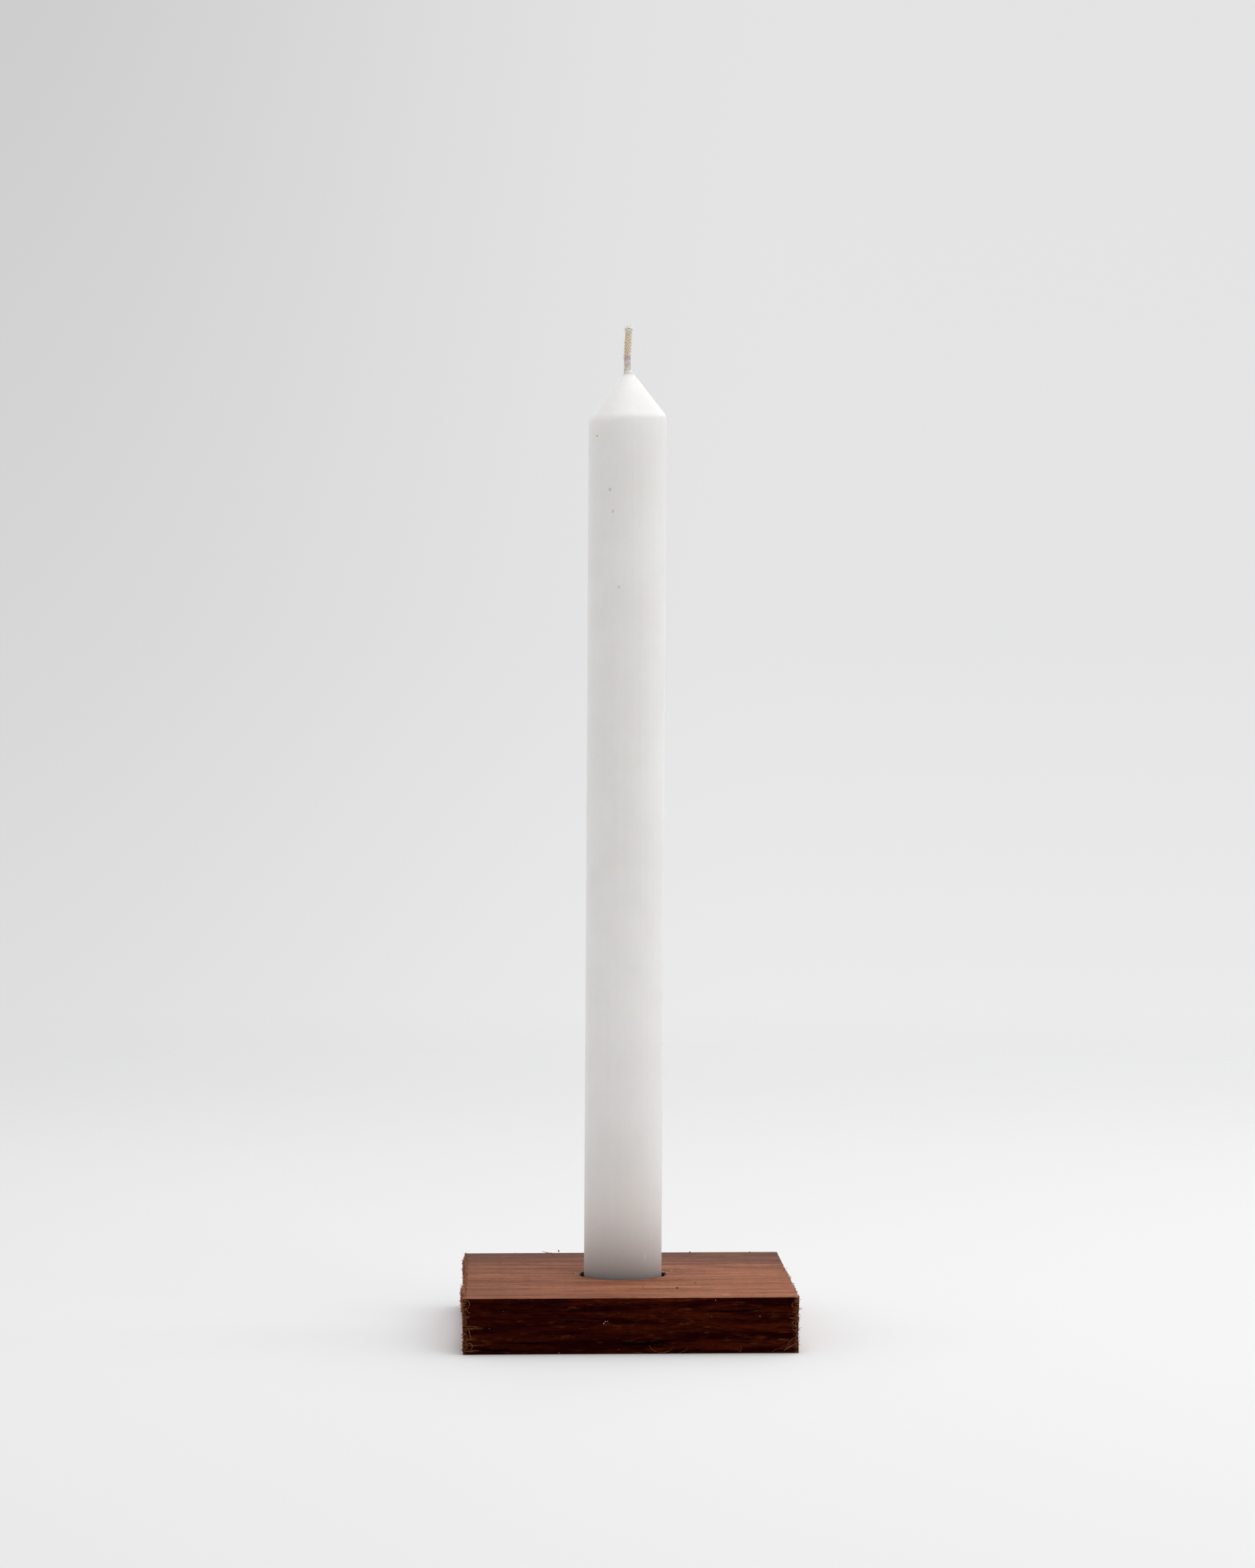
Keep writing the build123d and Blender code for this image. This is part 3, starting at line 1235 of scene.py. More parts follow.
def braid_tree() -> Tree:
    """Yarns that wind both ways round a centre line, over one and under the next, and part at the top.

    Returns:
        The finished tree.
    """
    inputs = {
        "Geometry": Kind.GEOMETRY,
        "Yarns": 4.0,
        "Turns": 4.0,
        "Foot": 0.0,
        "Height": 13 * MM,
        "Orbit": 0.6 * MM,
        "Weave": 0.07 * MM,
        "Flare": 0.45 * MM,
        "Yarn Radius": 0.34 * MM,
        "Centre X": 0.0,
        "Sway": 0.3 * MM,
        "Sway Start": 4 * MM,
        "Finish": Kind.MATERIAL,
    }
    tree = Group("braid", "GeometryNodeTree", inputs, ("Geometry", Kind.GEOMETRY))
    given = tree.given
    count = tree.times(given["Yarns"], 2.0)
    starts = tree.add("GeometryNodeMeshLine", {"Count": count, "Offset": (0.0, 0.0, 0.0)})
    order = tree.add("GeometryNodeInputIndex").outputs[0]
    numbered = keep(tree, starts.outputs[0], "yarn", order)
    joints, parting_run = 130, 1.5 * MM
    yarns = plant(tree, numbered, joints)

    share = tree.add("GeometryNodeSplineParameter").outputs["Factor"]
    number = kept(tree, "yarn")
    backward = tree.math("GREATER_THAN", number, tree.minus(given["Yarns"], 0.5))
    way = tree.minus(1.0, tree.times(backward, 2.0))
    phase = tree.over(number, given["Yarns"])
    wound = tree.times(tree.times(given["Turns"], share), way)
    angle = tree.times(tree.plus(wound, phase), math.tau)
    crossings = tree.times(tree.times(given["Turns"], given["Yarns"]), share)
    over = tree.times(tree.math("COSINE", tree.times(crossings, math.tau)), way)

    height = tree.remap(share, 0.0, 1.0, given["Foot"], given["Height"], smooth=False)
    parting = tree.remap(height, tree.minus(given["Height"], parting_run), given["Height"])
    orbit = tree.plus(given["Orbit"], tree.times(over, given["Weave"]))
    orbit = tree.plus(orbit, tree.times(parting, given["Flare"]))
    leaning = tree.remap(height, given["Sway Start"], given["Height"])
    centre = tree.plus(given["Centre X"], tree.times(leaning, given["Sway"]))
    x = tree.plus(centre, tree.times(tree.math("COSINE", angle), orbit))
    y = tree.times(tree.math("SINE", angle), orbit)
    place = tree.xyz(x, y, height)
    wound_yarns = tree.add("GeometryNodeSetPosition", {"Geometry": yarns, "Position": place})
    thin = tree.minus(1.0, tree.times(parting, 0.35))
    solid = sweep_along(tree, wound_yarns.outputs[0], disc(tree, 7), tree.times(given["Yarn Radius"], thin))
    smooth = tree.add("GeometryNodeSetShadeSmooth", {"Geometry": solid})
    return finish_tree(tree, smooth.outputs[0])


def turned_wax_tree() -> Tree:
    """A straight wax column sharpened to a cone that stands a little off the column's centre line.

    Returns:
        The finished tree.
    """
    inputs = {
        "Geometry": Kind.GEOMETRY,
        "Column Radius": 11 * MM,
        "Length": WAX_LENGTH,
        "Cone Height": 12.6 * MM,
        "Tip Radius": 1.3 * MM,
        "Cone Offset": 0.15 * MM,
        "Cone Lean": 0.25 * MM,
        "Shoulder": 0.5 * MM,
        "Base Chamfer": 0.7 * MM,
        "Unevenness": 0.06 * MM,
        "Finish": Kind.MATERIAL,
    }
    tree = Group("turned wax", "GeometryNodeTree", inputs, ("Geometry", Kind.GEOMETRY))
    given = tree.given
    sizes = {"Vertices": 128, "Side Segments": 150, "Fill Segments": 4, "Radius": 1.0, "Depth": 1.0}
    blank = tree.add("GeometryNodeMeshCylinder", sizes, fill_type="TRIANGLE_FAN")
    x, y, z = tree.split(tree.add("GeometryNodeInputPosition").outputs[0])
    share = tree.plus(z, 0.5)
    base_run = tree.times(given["Base Chamfer"], 2.0)
    cone_run = tree.times(given["Cone Height"], 1.3)
    middle_run = tree.minus(tree.minus(given["Length"], base_run), cone_run)
    foot_end, column_end = 0.05, 0.6  # shares of the segments, which are closest together in the cone
    height = tree.remap(share, 0.0, foot_end, 0.0, base_run, smooth=False)
    height = tree.plus(height, tree.remap(share, foot_end, column_end, 0.0, middle_run, smooth=False))
    height = tree.plus(height, tree.remap(share, column_end, 1.0, 0.0, cone_run, smooth=False))

    angle = tree.math("ARCTAN2", y, x)
    cosine, sine = tree.math("COSINE", angle), tree.math("SINE", angle)
    drop = tree.minus(given["Length"], height)
    slope = tree.over(tree.minus(given["Column Radius"], given["Tip Radius"]), given["Cone Height"])
    cone = tree.plus(given["Tip Radius"], tree.times(slope, drop))
    aside = tree.times(given["Cone Lean"], tree.over(drop, given["Cone Height"]))
    aside = tree.plus(given["Cone Offset"], aside)
    cone = tree.plus(cone, tree.times(cosine, aside))
    foot = tree.plus(tree.minus(given["Column Radius"], given["Base Chamfer"]), height)
    rounder = tree.minus(1.5, tree.times(cosine, 0.6))
    radius = tree.math("SMOOTH_MIN", given["Column Radius"], cone, tree.times(given["Shoulder"], rounder))
    radius = tree.math("SMOOTH_MIN", radius, foot, tree.times(given["Base Chamfer"], 0.3))

    rounds = tree.xyz(cosine, sine, tree.times(height, 25.0))
    radius = tree.plus(radius, tree.swing(tree.noise(rounds, 1.6, 2.0), given["Unevenness"]))
    reach = tree.times(tree.vector("LENGTH", tree.xyz(x, y, 0.0)), radius)
    spot = tree.xyz(tree.times(cosine, reach), tree.times(sine, reach), height)
    shaped = tree.add("GeometryNodeSetPosition", {"Geometry": blank.outputs[0], "Position": spot})
    smooth = tree.add("GeometryNodeSetShadeSmooth", {"Geometry": shaped.outputs[0]})
    return finish_tree(tree, smooth.outputs[0])


# ------------------------------------------------------------------ the block


@dataclass
class WoodBlock:
    """The bored block, with its torn sawn ends and the loose fibre on them."""

    length: float = BLOCK_LENGTH
    width: float = BLOCK_WIDTH
    height: float = BLOCK_HEIGHT
    socket_x: float = -0.8 * MM
    socket_y: float = 1.1 * MM
    socket_radius: float = 12 * MM
    socket_depth: float = SOCKET_DEPTH
    mouth_chamfer: float = 0.3 * MM
    point_radius: float = 1.2 * MM
    point_depth: float = 1.3 * MM
    arris: float = 0.35 * MM
    torn_reach: float = 2.4 * MM
    bulge_y: float = -27 * MM  # the left end stands out round here
    tuft_y: float = 29 * MM  # and a little here
    clean_from: float = 24 * MM  # the right end is sawn clean from here to the back
    patch: float = 16 * MM  # half the side of the square that the socket is worked into
    points: dict[tuple[int, int, int], int] = field(default_factory=dict)

    def grid(self) -> tuple[list[float], list[float], list[float]]:
        """The lines of the block's surface grid along X, Y and Z, closest together at the torn ends.

        Returns:
            The three lists of lines, rising.
        """
        half, side = self.length / 2, self.width / 2
        left, right = self.socket_x - self.patch, self.socket_x + self.patch
        near, far = self.socket_y - self.patch, self.socket_y + self.patch
        fine, inner = 0.3 * MM, half - self.torn_reach
        xs = spread(
            (-half, -inner, fine),
            (-inner, left, 2 * MM),
            (left, right, 1 * MM),
            (right, inner, 2 * MM),
            (inner, half, fine),
        )
        edge, rounding = side - self.arris, self.arris / 3
        ys = spread(
            (-side, -edge, rounding),
            (-edge, near, 0.45 * MM),
            (near, far, 0.5 * MM),
            (far, edge, 0.45 * MM),
            (edge, side, rounding),
        )
        top = self.height - self.arris
        zs = spread((0.0, self.arris, rounding), (self.arris, top, 0.4 * MM), (top, self.height, rounding))
        return xs, ys, zs

    def torn(self, side: int, y: float, z: float) -> float:
        """How far the torn end stands out beyond the block's length.

        Args:
            side: -1 for the left end, 1 for the right.
            y: place across the grain.
            z: height.

        Returns:
            The distance in metres, negative where the wood is torn away.
        """
        place = Vector((side * 31 * MM, y, z))
        rough = 0.20 * ripple(place, 3.2 * MM) + 0.22 * ripple(place, 1.1 * MM, 3.0)
        rough += 0.15 * ripple(place, 0.5 * MM, 9.0)
        if side < 0:
            from_bulge, from_tuft = (y - self.bulge_y) / (9 * MM), (y - self.tuft_y) / (4 * MM)
            bulge = 0.85 * math.exp(-(from_bulge**4)) * ease((z - 5 * MM) / (8 * MM))
            bulge += 0.35 * ease((-38 * MM - y) / (5 * MM))
            tuft = 0.55 * math.exp(-(from_tuft**2)) * ease((z - 8 * MM) / (4 * MM))
            return (bulge + tuft + rough - 0.5) * MM
        worn = ease((self.clean_from - y) / (12 * MM))
        chips = 0.45 * max(0.0, ripple(place, 2.0 * MM, 13.0)) * ease((z - 8 * MM) / (5 * MM))
        return (0.12 + 0.88 * worn) * (chips + 0.8 * rough) * MM

    def settle(self, place: Vector) -> Vector:
        """Carries a point of the plain block's surface to the worn block's.

        Args:
            place: a point on the plain block.

        Returns:
            Where the point is once edges are rounded and ends torn.
        """
        x, y, z = place
        beyond_y = abs(y) - (self.width / 2 - self.arris)
        beyond_z = max(z - (self.height - self.arris), self.arris - z)
        if beyond_y > 0 and beyond_z > 0:
            shrink = max(beyond_y, beyond_z) / math.hypot(beyond_y, beyond_z)
            y = math.copysign(self.width / 2 - self.arris + beyond_y * shrink, y)
            lift = self.arris - beyond_z * shrink
            z = self.height - lift if z > self.height / 2 else lift
        side = 1 if x > 0 else -1
        near_end = ease(1.0 - (self.length / 2 - abs(x)) / self.torn_reach)
        if near_end > 0:
            x += side * near_end * self.torn(side, y, z)
        if z > self.height / 2:
            front = ease(1.0 - (y + self.width / 2) / (6 * MM))
            z -= front * 0.03 * MM * (1.0 + ripple(Vector((x, 0.0, 0.0)), 7 * MM, 5.0))
            z += near_end * 0.12 * MM * ripple(Vector((x, y, 0.0)), 0.9 * MM, 7.0)
        return Vector((x, y, z))

    def shell(self, draft: Draft, xs: list[float], ys: list[float], zs: list[float]) -> tuple[range, range]:
        """Adds the block's six faces, all but the square round the socket.

        Args:
            draft: the mesh in the making.
            xs: the grid lines along X.
            ys: the grid lines along Y.
            zs: the grid lines along Z.

        Returns:
            The grid columns and rows that the open square takes.
        """
        last_x, last_y, last_z = len(xs) - 1, len(ys) - 1, len(zs) - 1
        left, near = self.socket_x - self.patch, self.socket_y - self.patch
        columns = range(nearest(xs, left), nearest(xs, left + 2 * self.patch))
        rows = range(nearest(ys, near), nearest(ys, near + 2 * self.patch))

        def at(i: int, j: int, k: int) -> int:
            """The number of the surface point on three grid lines.

            Args:
                i: the line along X.
                j: the line along Y.
                k: the line along Z.

            Returns:
                The point's number.
            """
            if (i, j, k) not in self.points:
                self.points[i, j, k] = draft.point(self.settle(Vector((xs[i], ys[j], zs[k]))))
            return self.points[i, j, k]

        for i in range(last_x):
            for j in range(last_y):
                under = (at(i, j, 0), at(i, j + 1, 0), at(i + 1, j + 1, 0), at(i + 1, j, 0))
                draft.face(under, Side.PLANED)
                if i not in columns or j not in rows:
                    k = last_z
                    top = (at(i, j, k), at(i + 1, j, k), at(i + 1, j + 1, k), at(i, j + 1, k))
                    draft.face(top, Side.PLANED)
            for k in range(last_z):
                front = (at(i, 0, k), at(i + 1, 0, k), at(i + 1, 0, k + 1), at(i, 0, k + 1))
                draft.face(front, Side.EDGE)
                j = last_y
                back = (at(i, j, k), at(i, j, k + 1), at(i + 1, j, k + 1), at(i + 1, j, k))
                draft.face(back, Side.EDGE)
        for j in range(last_y):
            for k in range(last_z):
                left_end = (at(0, j, k), at(0, j, k + 1), at(0, j + 1, k + 1), at(0, j + 1, k))
                draft.face(left_end, Side.SAWN)
                i = last_x
                right_end = (at(i, j, k), at(i, j + 1, k), at(i, j + 1, k + 1), at(i, j, k + 1))
                draft.face(right_end, Side.SAWN)
        return columns, rows

    def socket(self, draft: Draft, columns: range, rows: range, top: int) -> None:
        """Adds the socket and the wood round its mouth, joined to the open square.

        Args:
            draft: the mesh in the making.
            columns: the grid columns of the open square.
            rows: its grid rows.
            top: the number of the highest grid line.
        """
        border = [self.points[i, rows.start, top] for i in columns]
        border += [self.points[columns.stop, j, top] for j in rows]
        border += [self.points[i + 1, rows.stop, top] for i in reversed(columns)]
        border += [self.points[columns.start, j + 1, top] for j in reversed(rows)]
        centre = Vector((self.socket_x, self.socket_y, self.height))
        square = [draft.points[number].copy() for number in border]
        angles = [math.atan2(place.y - centre.y, place.x - centre.x) for place in square]

        def chip(angle: float) -> float:
            """How far the mouth is broken out beyond the bore, most where the bit lifted the grain.

            Args:
                angle: the direction from the axis.

            Returns:
                The distance in metres.
            """
            spot = Vector((math.cos(angle), math.sin(angle), 0.0)) * self.socket_radius
            lifted = abs(math.cos(angle)) ** 8
            jagged = max(0.0, ripple(spot, 1.3 * MM, 2.0)) * 0.25
            jagged += max(0.0, ripple(spot, 0.5 * MM, 4.0)) * 0.15
            return self.mouth_chamfer + (jagged + lifted * 0.45 * (1.0 + ripple(spot, 0.7 * MM, 6.0))) * MM

        def circle(radii: Sequence[float], z: float) -> list[Vector]:
            """A ring of points round the socket's axis at a height.

            Args:
                radii: each point's distance from the axis.
                z: the height.

            Returns:
                The points.
            """
            return [
                centre + Vector((math.cos(angle) * radius, math.sin(angle) * radius, z - self.height))
                for angle, radius in zip(angles, radii)
            ]

        mouth = circle([self.socket_radius + chip(angle) for angle in angles], self.height)
        loop = border
        for share in (0.3, 0.55, 0.75, 0.88, 0.96, 1.0):
            after = draft.ring([start.lerp(end, share) for start, end in zip(square, mouth)])
            draft.bridge(loop, after, Side.PLANED)
            loop = after
        floor = self.height - self.socket_depth
        eased = self.mouth_chamfer
        for depth in spread((0.0, eased, eased), (eased, self.socket_depth, 1 * MM))[1:]:
            after = draft.ring(circle([self.socket_radius] * len(angles), self.height - depth))
            draft.bridge(loop, after, Side.BORED)
            loop = after
        for radius in (0.8, 0.5, 0.25):
            after = draft.ring(circle([self.socket_radius * radius] * len(angles), floor))
            draft.bridge(loop, after, Side.BORED)
            loop = after
        after = draft.ring(circle([self.point_radius] * len(angles), floor))
        draft.bridge(loop, after, Side.BORED)
        draft.fan(after, Vector((centre.x, centre.y, floor - self.point_depth)), Side.BORED)

    def build(self) -> Object:
        """Makes the block and gives its object.

        Returns:
            The piece's object.
        """
        xs, ys, zs = self.grid()
        draft = Draft()
        columns, rows = self.shell(draft, xs, ys, zs)
        self.socket(draft, columns, rows, len(zs) - 1)
        finishes = [PlanedFace().build(), DarkEdge().build(), SawnEnd().build(), BoredWall().build()]
        block = show("hardwood_block", draft.mesh("hardwood_block", finishes))
        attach(block, HOLDER)
        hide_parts("wood_block")
        return block

    def seedbed(self, block: Object, side: int, reach: float) -> Mesh:
        """The faces that loose fibre grows from at one end.

        Args:
            block: the finished block.
            side: -1 for the left end, 1 for the right.
            reach: how far the fibre goes in from the end along the long faces.

        Returns:
            A mesh of those faces alone.
        """
        work = bmesh.new()
        work.from_mesh(block.data)
        limit = self.length / 2 - reach
        spare = []
        for face in work.faces:
            middle = face.calc_center_median()
            clean = side > 0 and middle.y > self.clean_from + 5 * MM * (ripple(middle, 3 * MM) - 0.6)
            if middle.x * side < limit or clean:
                spare.append(face)
        bmesh.ops.delete(work, geom=spare, context="FACES")
        mesh = bpy.data.meshes.new("seedbed")
        work.to_mesh(mesh)
        work.free()
        return mesh


def nearest(lines: Sequence[float], place: float) -> int:
    """The number of the grid line nearest to a place."""
    return min(range(len(lines)), key=lambda k: abs(lines[k] - place))


@dataclass(frozen=True)
class Fluff:
    """A growth of loose strands: how many to a square metre, how each is shaped, and its seed."""

    density: float
    shortest: float
    longest: float
    root_radius: float
    rise: float
    curl: float
    curl_size: float
    seed: int
    taper: float = 0.8
    joints: int = 7

    def on(self, seedbed: Mesh, finish: Material) -> Mesh:
        """Grows the strands on a mesh's faces."""
        values = {name.replace("_", " ").title(): value for name, value in vars(self).items()}
        return grow(fibre_tree(), seedbed, {**values, "Finish": finish})


@dataclass
class TornEnds:
    """The felt of loose fibre on the block's sawn ends, with a few long whiskers."""

    block: WoodBlock
    body: Object
    finish: Material
    reach: float = 1.2 * MM
    right_share: float = 0.4  # how far in, and how thick, the right end's fibre is beside the left's
    felt: Fluff = Fluff(
        density=4.3e6,
        shortest=0.2 * MM,
        longest=0.52 * MM,
        root_radius=0.08 * MM,
        rise=0.25,
        curl=1.9,
        curl_size=0.36 * MM,
        seed=11,
        taper=0.45,
        joints=5,
    )
    whiskers: Fluff = Fluff(
        density=0.028e6,
        shortest=0.5 * MM,
        longest=1.3 * MM,
        root_radius=0.06 * MM,
        rise=0.7,
        curl=1.1,
        curl_size=0.7 * MM,
        seed=31,
    )

    def build(self) -> list[Object]:
        """Grows the felt and the whiskers at both ends and gives their objects.

        Returns:
            The pieces' objects.
        """
        made = []
        for name, side, share in (("left", -1, 1.0), ("right", 1, self.right_share)):
            bed = self.block.seedbed(self.body, side, self.reach * share)
            for title, plain in (("felt", self.felt), ("whiskers", self.whiskers)):
                fluff = replace(plain, density=plain.density * share, seed=plain.seed + side)
                made.append(loose(f"{name}_end_{title}", fluff.on(bed.copy(), self.finish)))
        return made


def loose(name: str, mesh: Mesh) -> Object:
    """Shows a piece of loose wood and has it ride on the holder.

    Args:
        name: the piece's name.
        mesh: its mesh.

    Returns:
        The piece's object.
    """
    piece = show(name, mesh)
    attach(piece, HOLDER)
    return piece


class Cut(Enum):
    """The kinds of shaving: width and thickness in metres."""

    HAIR = (0.13 * MM, 0.11 * MM)
    CURL = (0.20 * MM, 0.11 * MM)
    RIBBON = (0.38 * MM, 0.10 * MM)


@dataclass(frozen=True)
class Shaving:
    """One shaving: how it was cut, and its path as (x, z, how far it stands off the front face) in mm.

    One that lies at the back is measured forward from the back face instead.
    """

    cut: Cut
    path: tuple[Triple, ...]
    girth: float = 1.0
    at_back: bool = False


def ringlet(cut: Cut, x: float, z: float, radius: float, start: float, sweep: float) -> Shaving:
    """A shaving curled into part of a ring against the front face.

    Args:
        cut: how it was cut.
        x: the ring's centre along the face, in mm.
        z: its height in mm.
        radius: the ring's radius in mm.
        start: the angle it starts at, in degrees from +X.
        sweep: how far round it goes, in degrees.

    Returns:
        The shaving.
    """
    steps = max(4, round(abs(sweep) / 45))
    angles = [math.radians(start + sweep * k / steps) for k in range(steps + 1)]
    ring = [(x + radius * math.cos(angle), z + radius * math.sin(angle)) for angle in angles]
    return Shaving(cut, tuple((*place, 0.15 + 0.1 * k) for k, place in enumerate(ring)))


@dataclass
class Shavings:
    """The separate curls, ribbons and splinters that hang on the front face and its edges."""

    block: WoodBlock
    finish: Material

    def left_end(self) -> list[Shaving]:
        """The torn strips at the front face's left end.

        Returns:
            The shavings.
        """
        hook = ((-45.8, 15.0, 0.1), (-44.9, 15.1, 0.2), (-44.1, 14.6, 0.3), (-44.0, 13.5, 0.3))
        hook += ((-44.9, 12.5, 0.2),)
        return [
            Shaving(Cut.CURL, hook, girth=1.5),
            Shaving(
                Cut.CURL,
                ((-45.2, 13.0, 0.1), (-44.8, 12.1, 0.3), (-44.2, 11.5, 0.4), (-43.8, 11.7, 0.6)),
            ),
            Shaving(Cut.HAIR, ((-45.4, 10.9, 0.1), (-44.6, 10.4, 0.2), (-44.0, 10.3, 0.3))),
            Shaving(Cut.HAIR, ((-45.9, 7.9, 0.05), (-43.8, 7.8, 0.12), (-41.9, 7.9, 0.02)), 1.3),
            Shaving(Cut.HAIR, ((-45.6, 7.2, 0.05), (-43.2, 7.3, 0.12), (-40.4, 7.2, 0.02)), 1.5),
            Shaving(
                Cut.CURL,
                ((-44.5, 7.6, 0.3), (-44.2, 6.6, 0.5), (-44.0, 5.4, 0.5), (-43.7, 4.1, 0.3)),
                1.3,
            ),
            Shaving(Cut.HAIR, ((-45.8, 4.0, 0.05), (-44.0, 4.2, 0.15), (-41.8, 4.3, 0.02)), 1.4),
            ringlet(Cut.CURL, -44.2, 2.4, 0.95, 150, -280),
            ringlet(Cut.HAIR, -44.9, 3.0, 0.6, 20, 240),
            Shaving(Cut.CURL, ((-45.3, 3.7, 0.2), (-45.0, 2.6, 0.4), (-44.5, 1.9, 0.3))),
            Shaving(Cut.HAIR, ((-43.2, 2.5, 0.1), (-41.4, 2.8, 0.15), (-39.9, 2.7, 0.02)), 1.2),
            Shaving(
                Cut.CURL,
                ((-45.9, 1.0, 0.1), (-44.2, 0.9, 0.2), (-43.0, 1.3, 0.15), (-41.4, 1.1, 0.02)),
                1.2,
            ),
            ringlet(Cut.CURL, -45.3, 5.2, 0.55, 200, -250),
            ringlet(Cut.HAIR, -45.4, 9.0, 0.5, 90, -220),
            ringlet(Cut.HAIR, -45.2, 6.3, 0.4, 0, 230),
        ]

    def right_end(self) -> list[Shaving]:
        """The curls and flat shavings at the front face's right end.

        Returns:
            The shavings.
        """
        return [
            ringlet(Cut.CURL, 44.8, 13.4, 0.7, 60, 260),
            Shaving(Cut.HAIR, ((44.2, 11.2, 0.1), (45.0, 11.3, 0.4), (45.6, 11.9, 0.5), (46.0, 12.6, 0.3))),
            Shaving(Cut.HAIR, ((45.7, 12.4, 0.1), (46.5, 12.3, 0.2), (46.9, 12.7, 0.3), (47.0, 12.2, 0.3))),
            Shaving(Cut.HAIR, ((45.9, 14.6, 0.0), (46.5, 14.9, 0.1), (46.9, 15.0, 0.2))),
            Shaving(Cut.CURL, ((43.4, 9.7, 0.1), (44.6, 9.8, 0.2), (45.8, 9.6, 0.2))),
            ringlet(Cut.CURL, 45.1, 8.3, 0.75, 120, 250),
            ringlet(Cut.CURL, 44.9, 6.9, 0.6, 30, -240),
            ringlet(Cut.CURL, 45.3, 5.3, 0.7, 200, -230),
            Shaving(Cut.CURL, ((45.4, 9.0, 0.2), (45.0, 8.0, 0.5), (45.4, 7.0, 0.5), (45.9, 6.6, 0.3))),
            Shaving(Cut.HAIR, ((45.6, 6.8, 0.1), (46.4, 6.5, 0.2), (46.8, 6.0, 0.2))),
            Shaving(Cut.HAIR, ((45.8, 2.9, 0.1), (46.3, 2.5, 0.2), (46.5, 2.0, 0.2))),
            Shaving(Cut.RIBBON, ((42.9, 2.3, 0.2), (43.6, 3.5, 0.3), (44.8, 4.3, 0.3)), 0.8),
            Shaving(Cut.HAIR, ((43.3, 2.4, 0.3), (44.4, 3.1, 0.4), (45.2, 4.0, 0.3))),
            Shaving(Cut.RIBBON, ((42.0, 0.8, 0.2), (43.8, 1.9, 0.4), (45.5, 3.0, 0.4)), 0.9),
            Shaving(Cut.RIBBON, ((40.3, 3.9, 0.02), (42.0, 3.9, 0.1), (43.4, 3.5, 0.1)), 0.7),
            Shaving(Cut.CURL, ((38.6, 0.3, 0.1), (39.4, 1.0, 0.2), (40.6, 1.5, 0.3), (41.8, 1.6, 0.2))),
        ]

    def lower_edge(self) -> list[Shaving]:
        """The thin curls along the foot of the front face.

        Returns:
            The shavings.
        """
        return [
            Shaving(Cut.HAIR, ((5.1, 2.4, 0.1), (5.5, 1.5, 0.3), (6.2, 0.9, 0.4), (7.5, 0.5, 0.3))),
            Shaving(Cut.HAIR, ((7.3, 0.4, 0.2), (9.2, 0.45, 0.4), (10.6, 0.8, 0.4), (11.5, 1.9, 0.4)), 1.3),
            Shaving(Cut.HAIR, ((15.6, 1.9, 0.2), (15.3, 1.1, 0.4), (14.3, 0.6, 0.4), (13.2, 0.4, 0.2)), 1.2),
            Shaving(Cut.HAIR, ((30.0, 2.2, 0.1), (30.4, 1.3, 0.3), (30.1, 0.6, 0.4), (29.2, 0.35, 0.2))),
            Shaving(Cut.HAIR, ((0.6, 0.3, 0.1), (1.8, 0.6, 0.3), (3.2, 0.45, 0.1))),
        ]

    def back_edge(self) -> list[Shaving]:
        """The curl and the crumb's stalk that stand on the back edge of the top.

        Returns:
            The shavings.
        """
        top = self.block.height / MM
        lying = ((-22.9, 0.6), (-22.3, 0.2), (-21.2, 0.08), (-19.9, 0.0))
        upright = ((-17.9, -0.05), (-18.0, 0.3), (-18.1, 0.6))
        curl = tuple((x, top + above, 0.8) for x, above in lying)
        stalk = tuple((x, top + above, 0.6) for x, above in upright)
        return [
            Shaving(Cut.HAIR, curl, girth=1.6, at_back=True),
            Shaving(Cut.HAIR, stalk, at_back=True),
        ]

    def paths(self, shavings: Sequence[Shaving]) -> bpy.types.Curve:
        """Draws the shavings' paths as smooth curves.

        Args:
            shavings: the shavings, all of one cut.

        Returns:
            The curve data.
        """
        curve = bpy.data.curves.new("paths", "CURVE")
        curve.dimensions = "3D"
        for shaving in shavings:
            spline = curve.splines.new("NURBS")
            spline.points.add(len(shaving.path) - 1)
            face = self.block.width / 2 if shaving.at_back else -self.block.width / 2
            for point, (x, z, off) in zip(spline.points, shaving.path):
                point.co = (x * MM, face - off * MM, max(z, 0.3) * MM, 1.0)
                point.radius = shaving.girth
            spline.order_u = 3
            spline.use_endpoint_u = True
            spline.resolution_u = 6
        return curve

    def build(self) -> list[Object]:
        """Makes the shavings, one piece for each cut, and gives their objects.

        Returns:
            The pieces' objects.
        """
        tree = shaving_tree()
        every = self.left_end() + self.right_end() + self.lower_edge() + self.back_edge()
        made = []
        for cut in Cut:
            width, thickness = cut.value
            chosen = [shaving for shaving in every if shaving.cut is cut]
            values = {"Width": width, "Thickness": thickness, "Finish": self.finish}
            made.append(loose(f"{cut.name.lower()}_shavings", grow(tree, self.paths(chosen), values)))
        return made


@dataclass(frozen=True)
class Crumb:
    """One crumb: its centre in mm, its size along each axis in mm."""

    place: Triple
    size: Triple


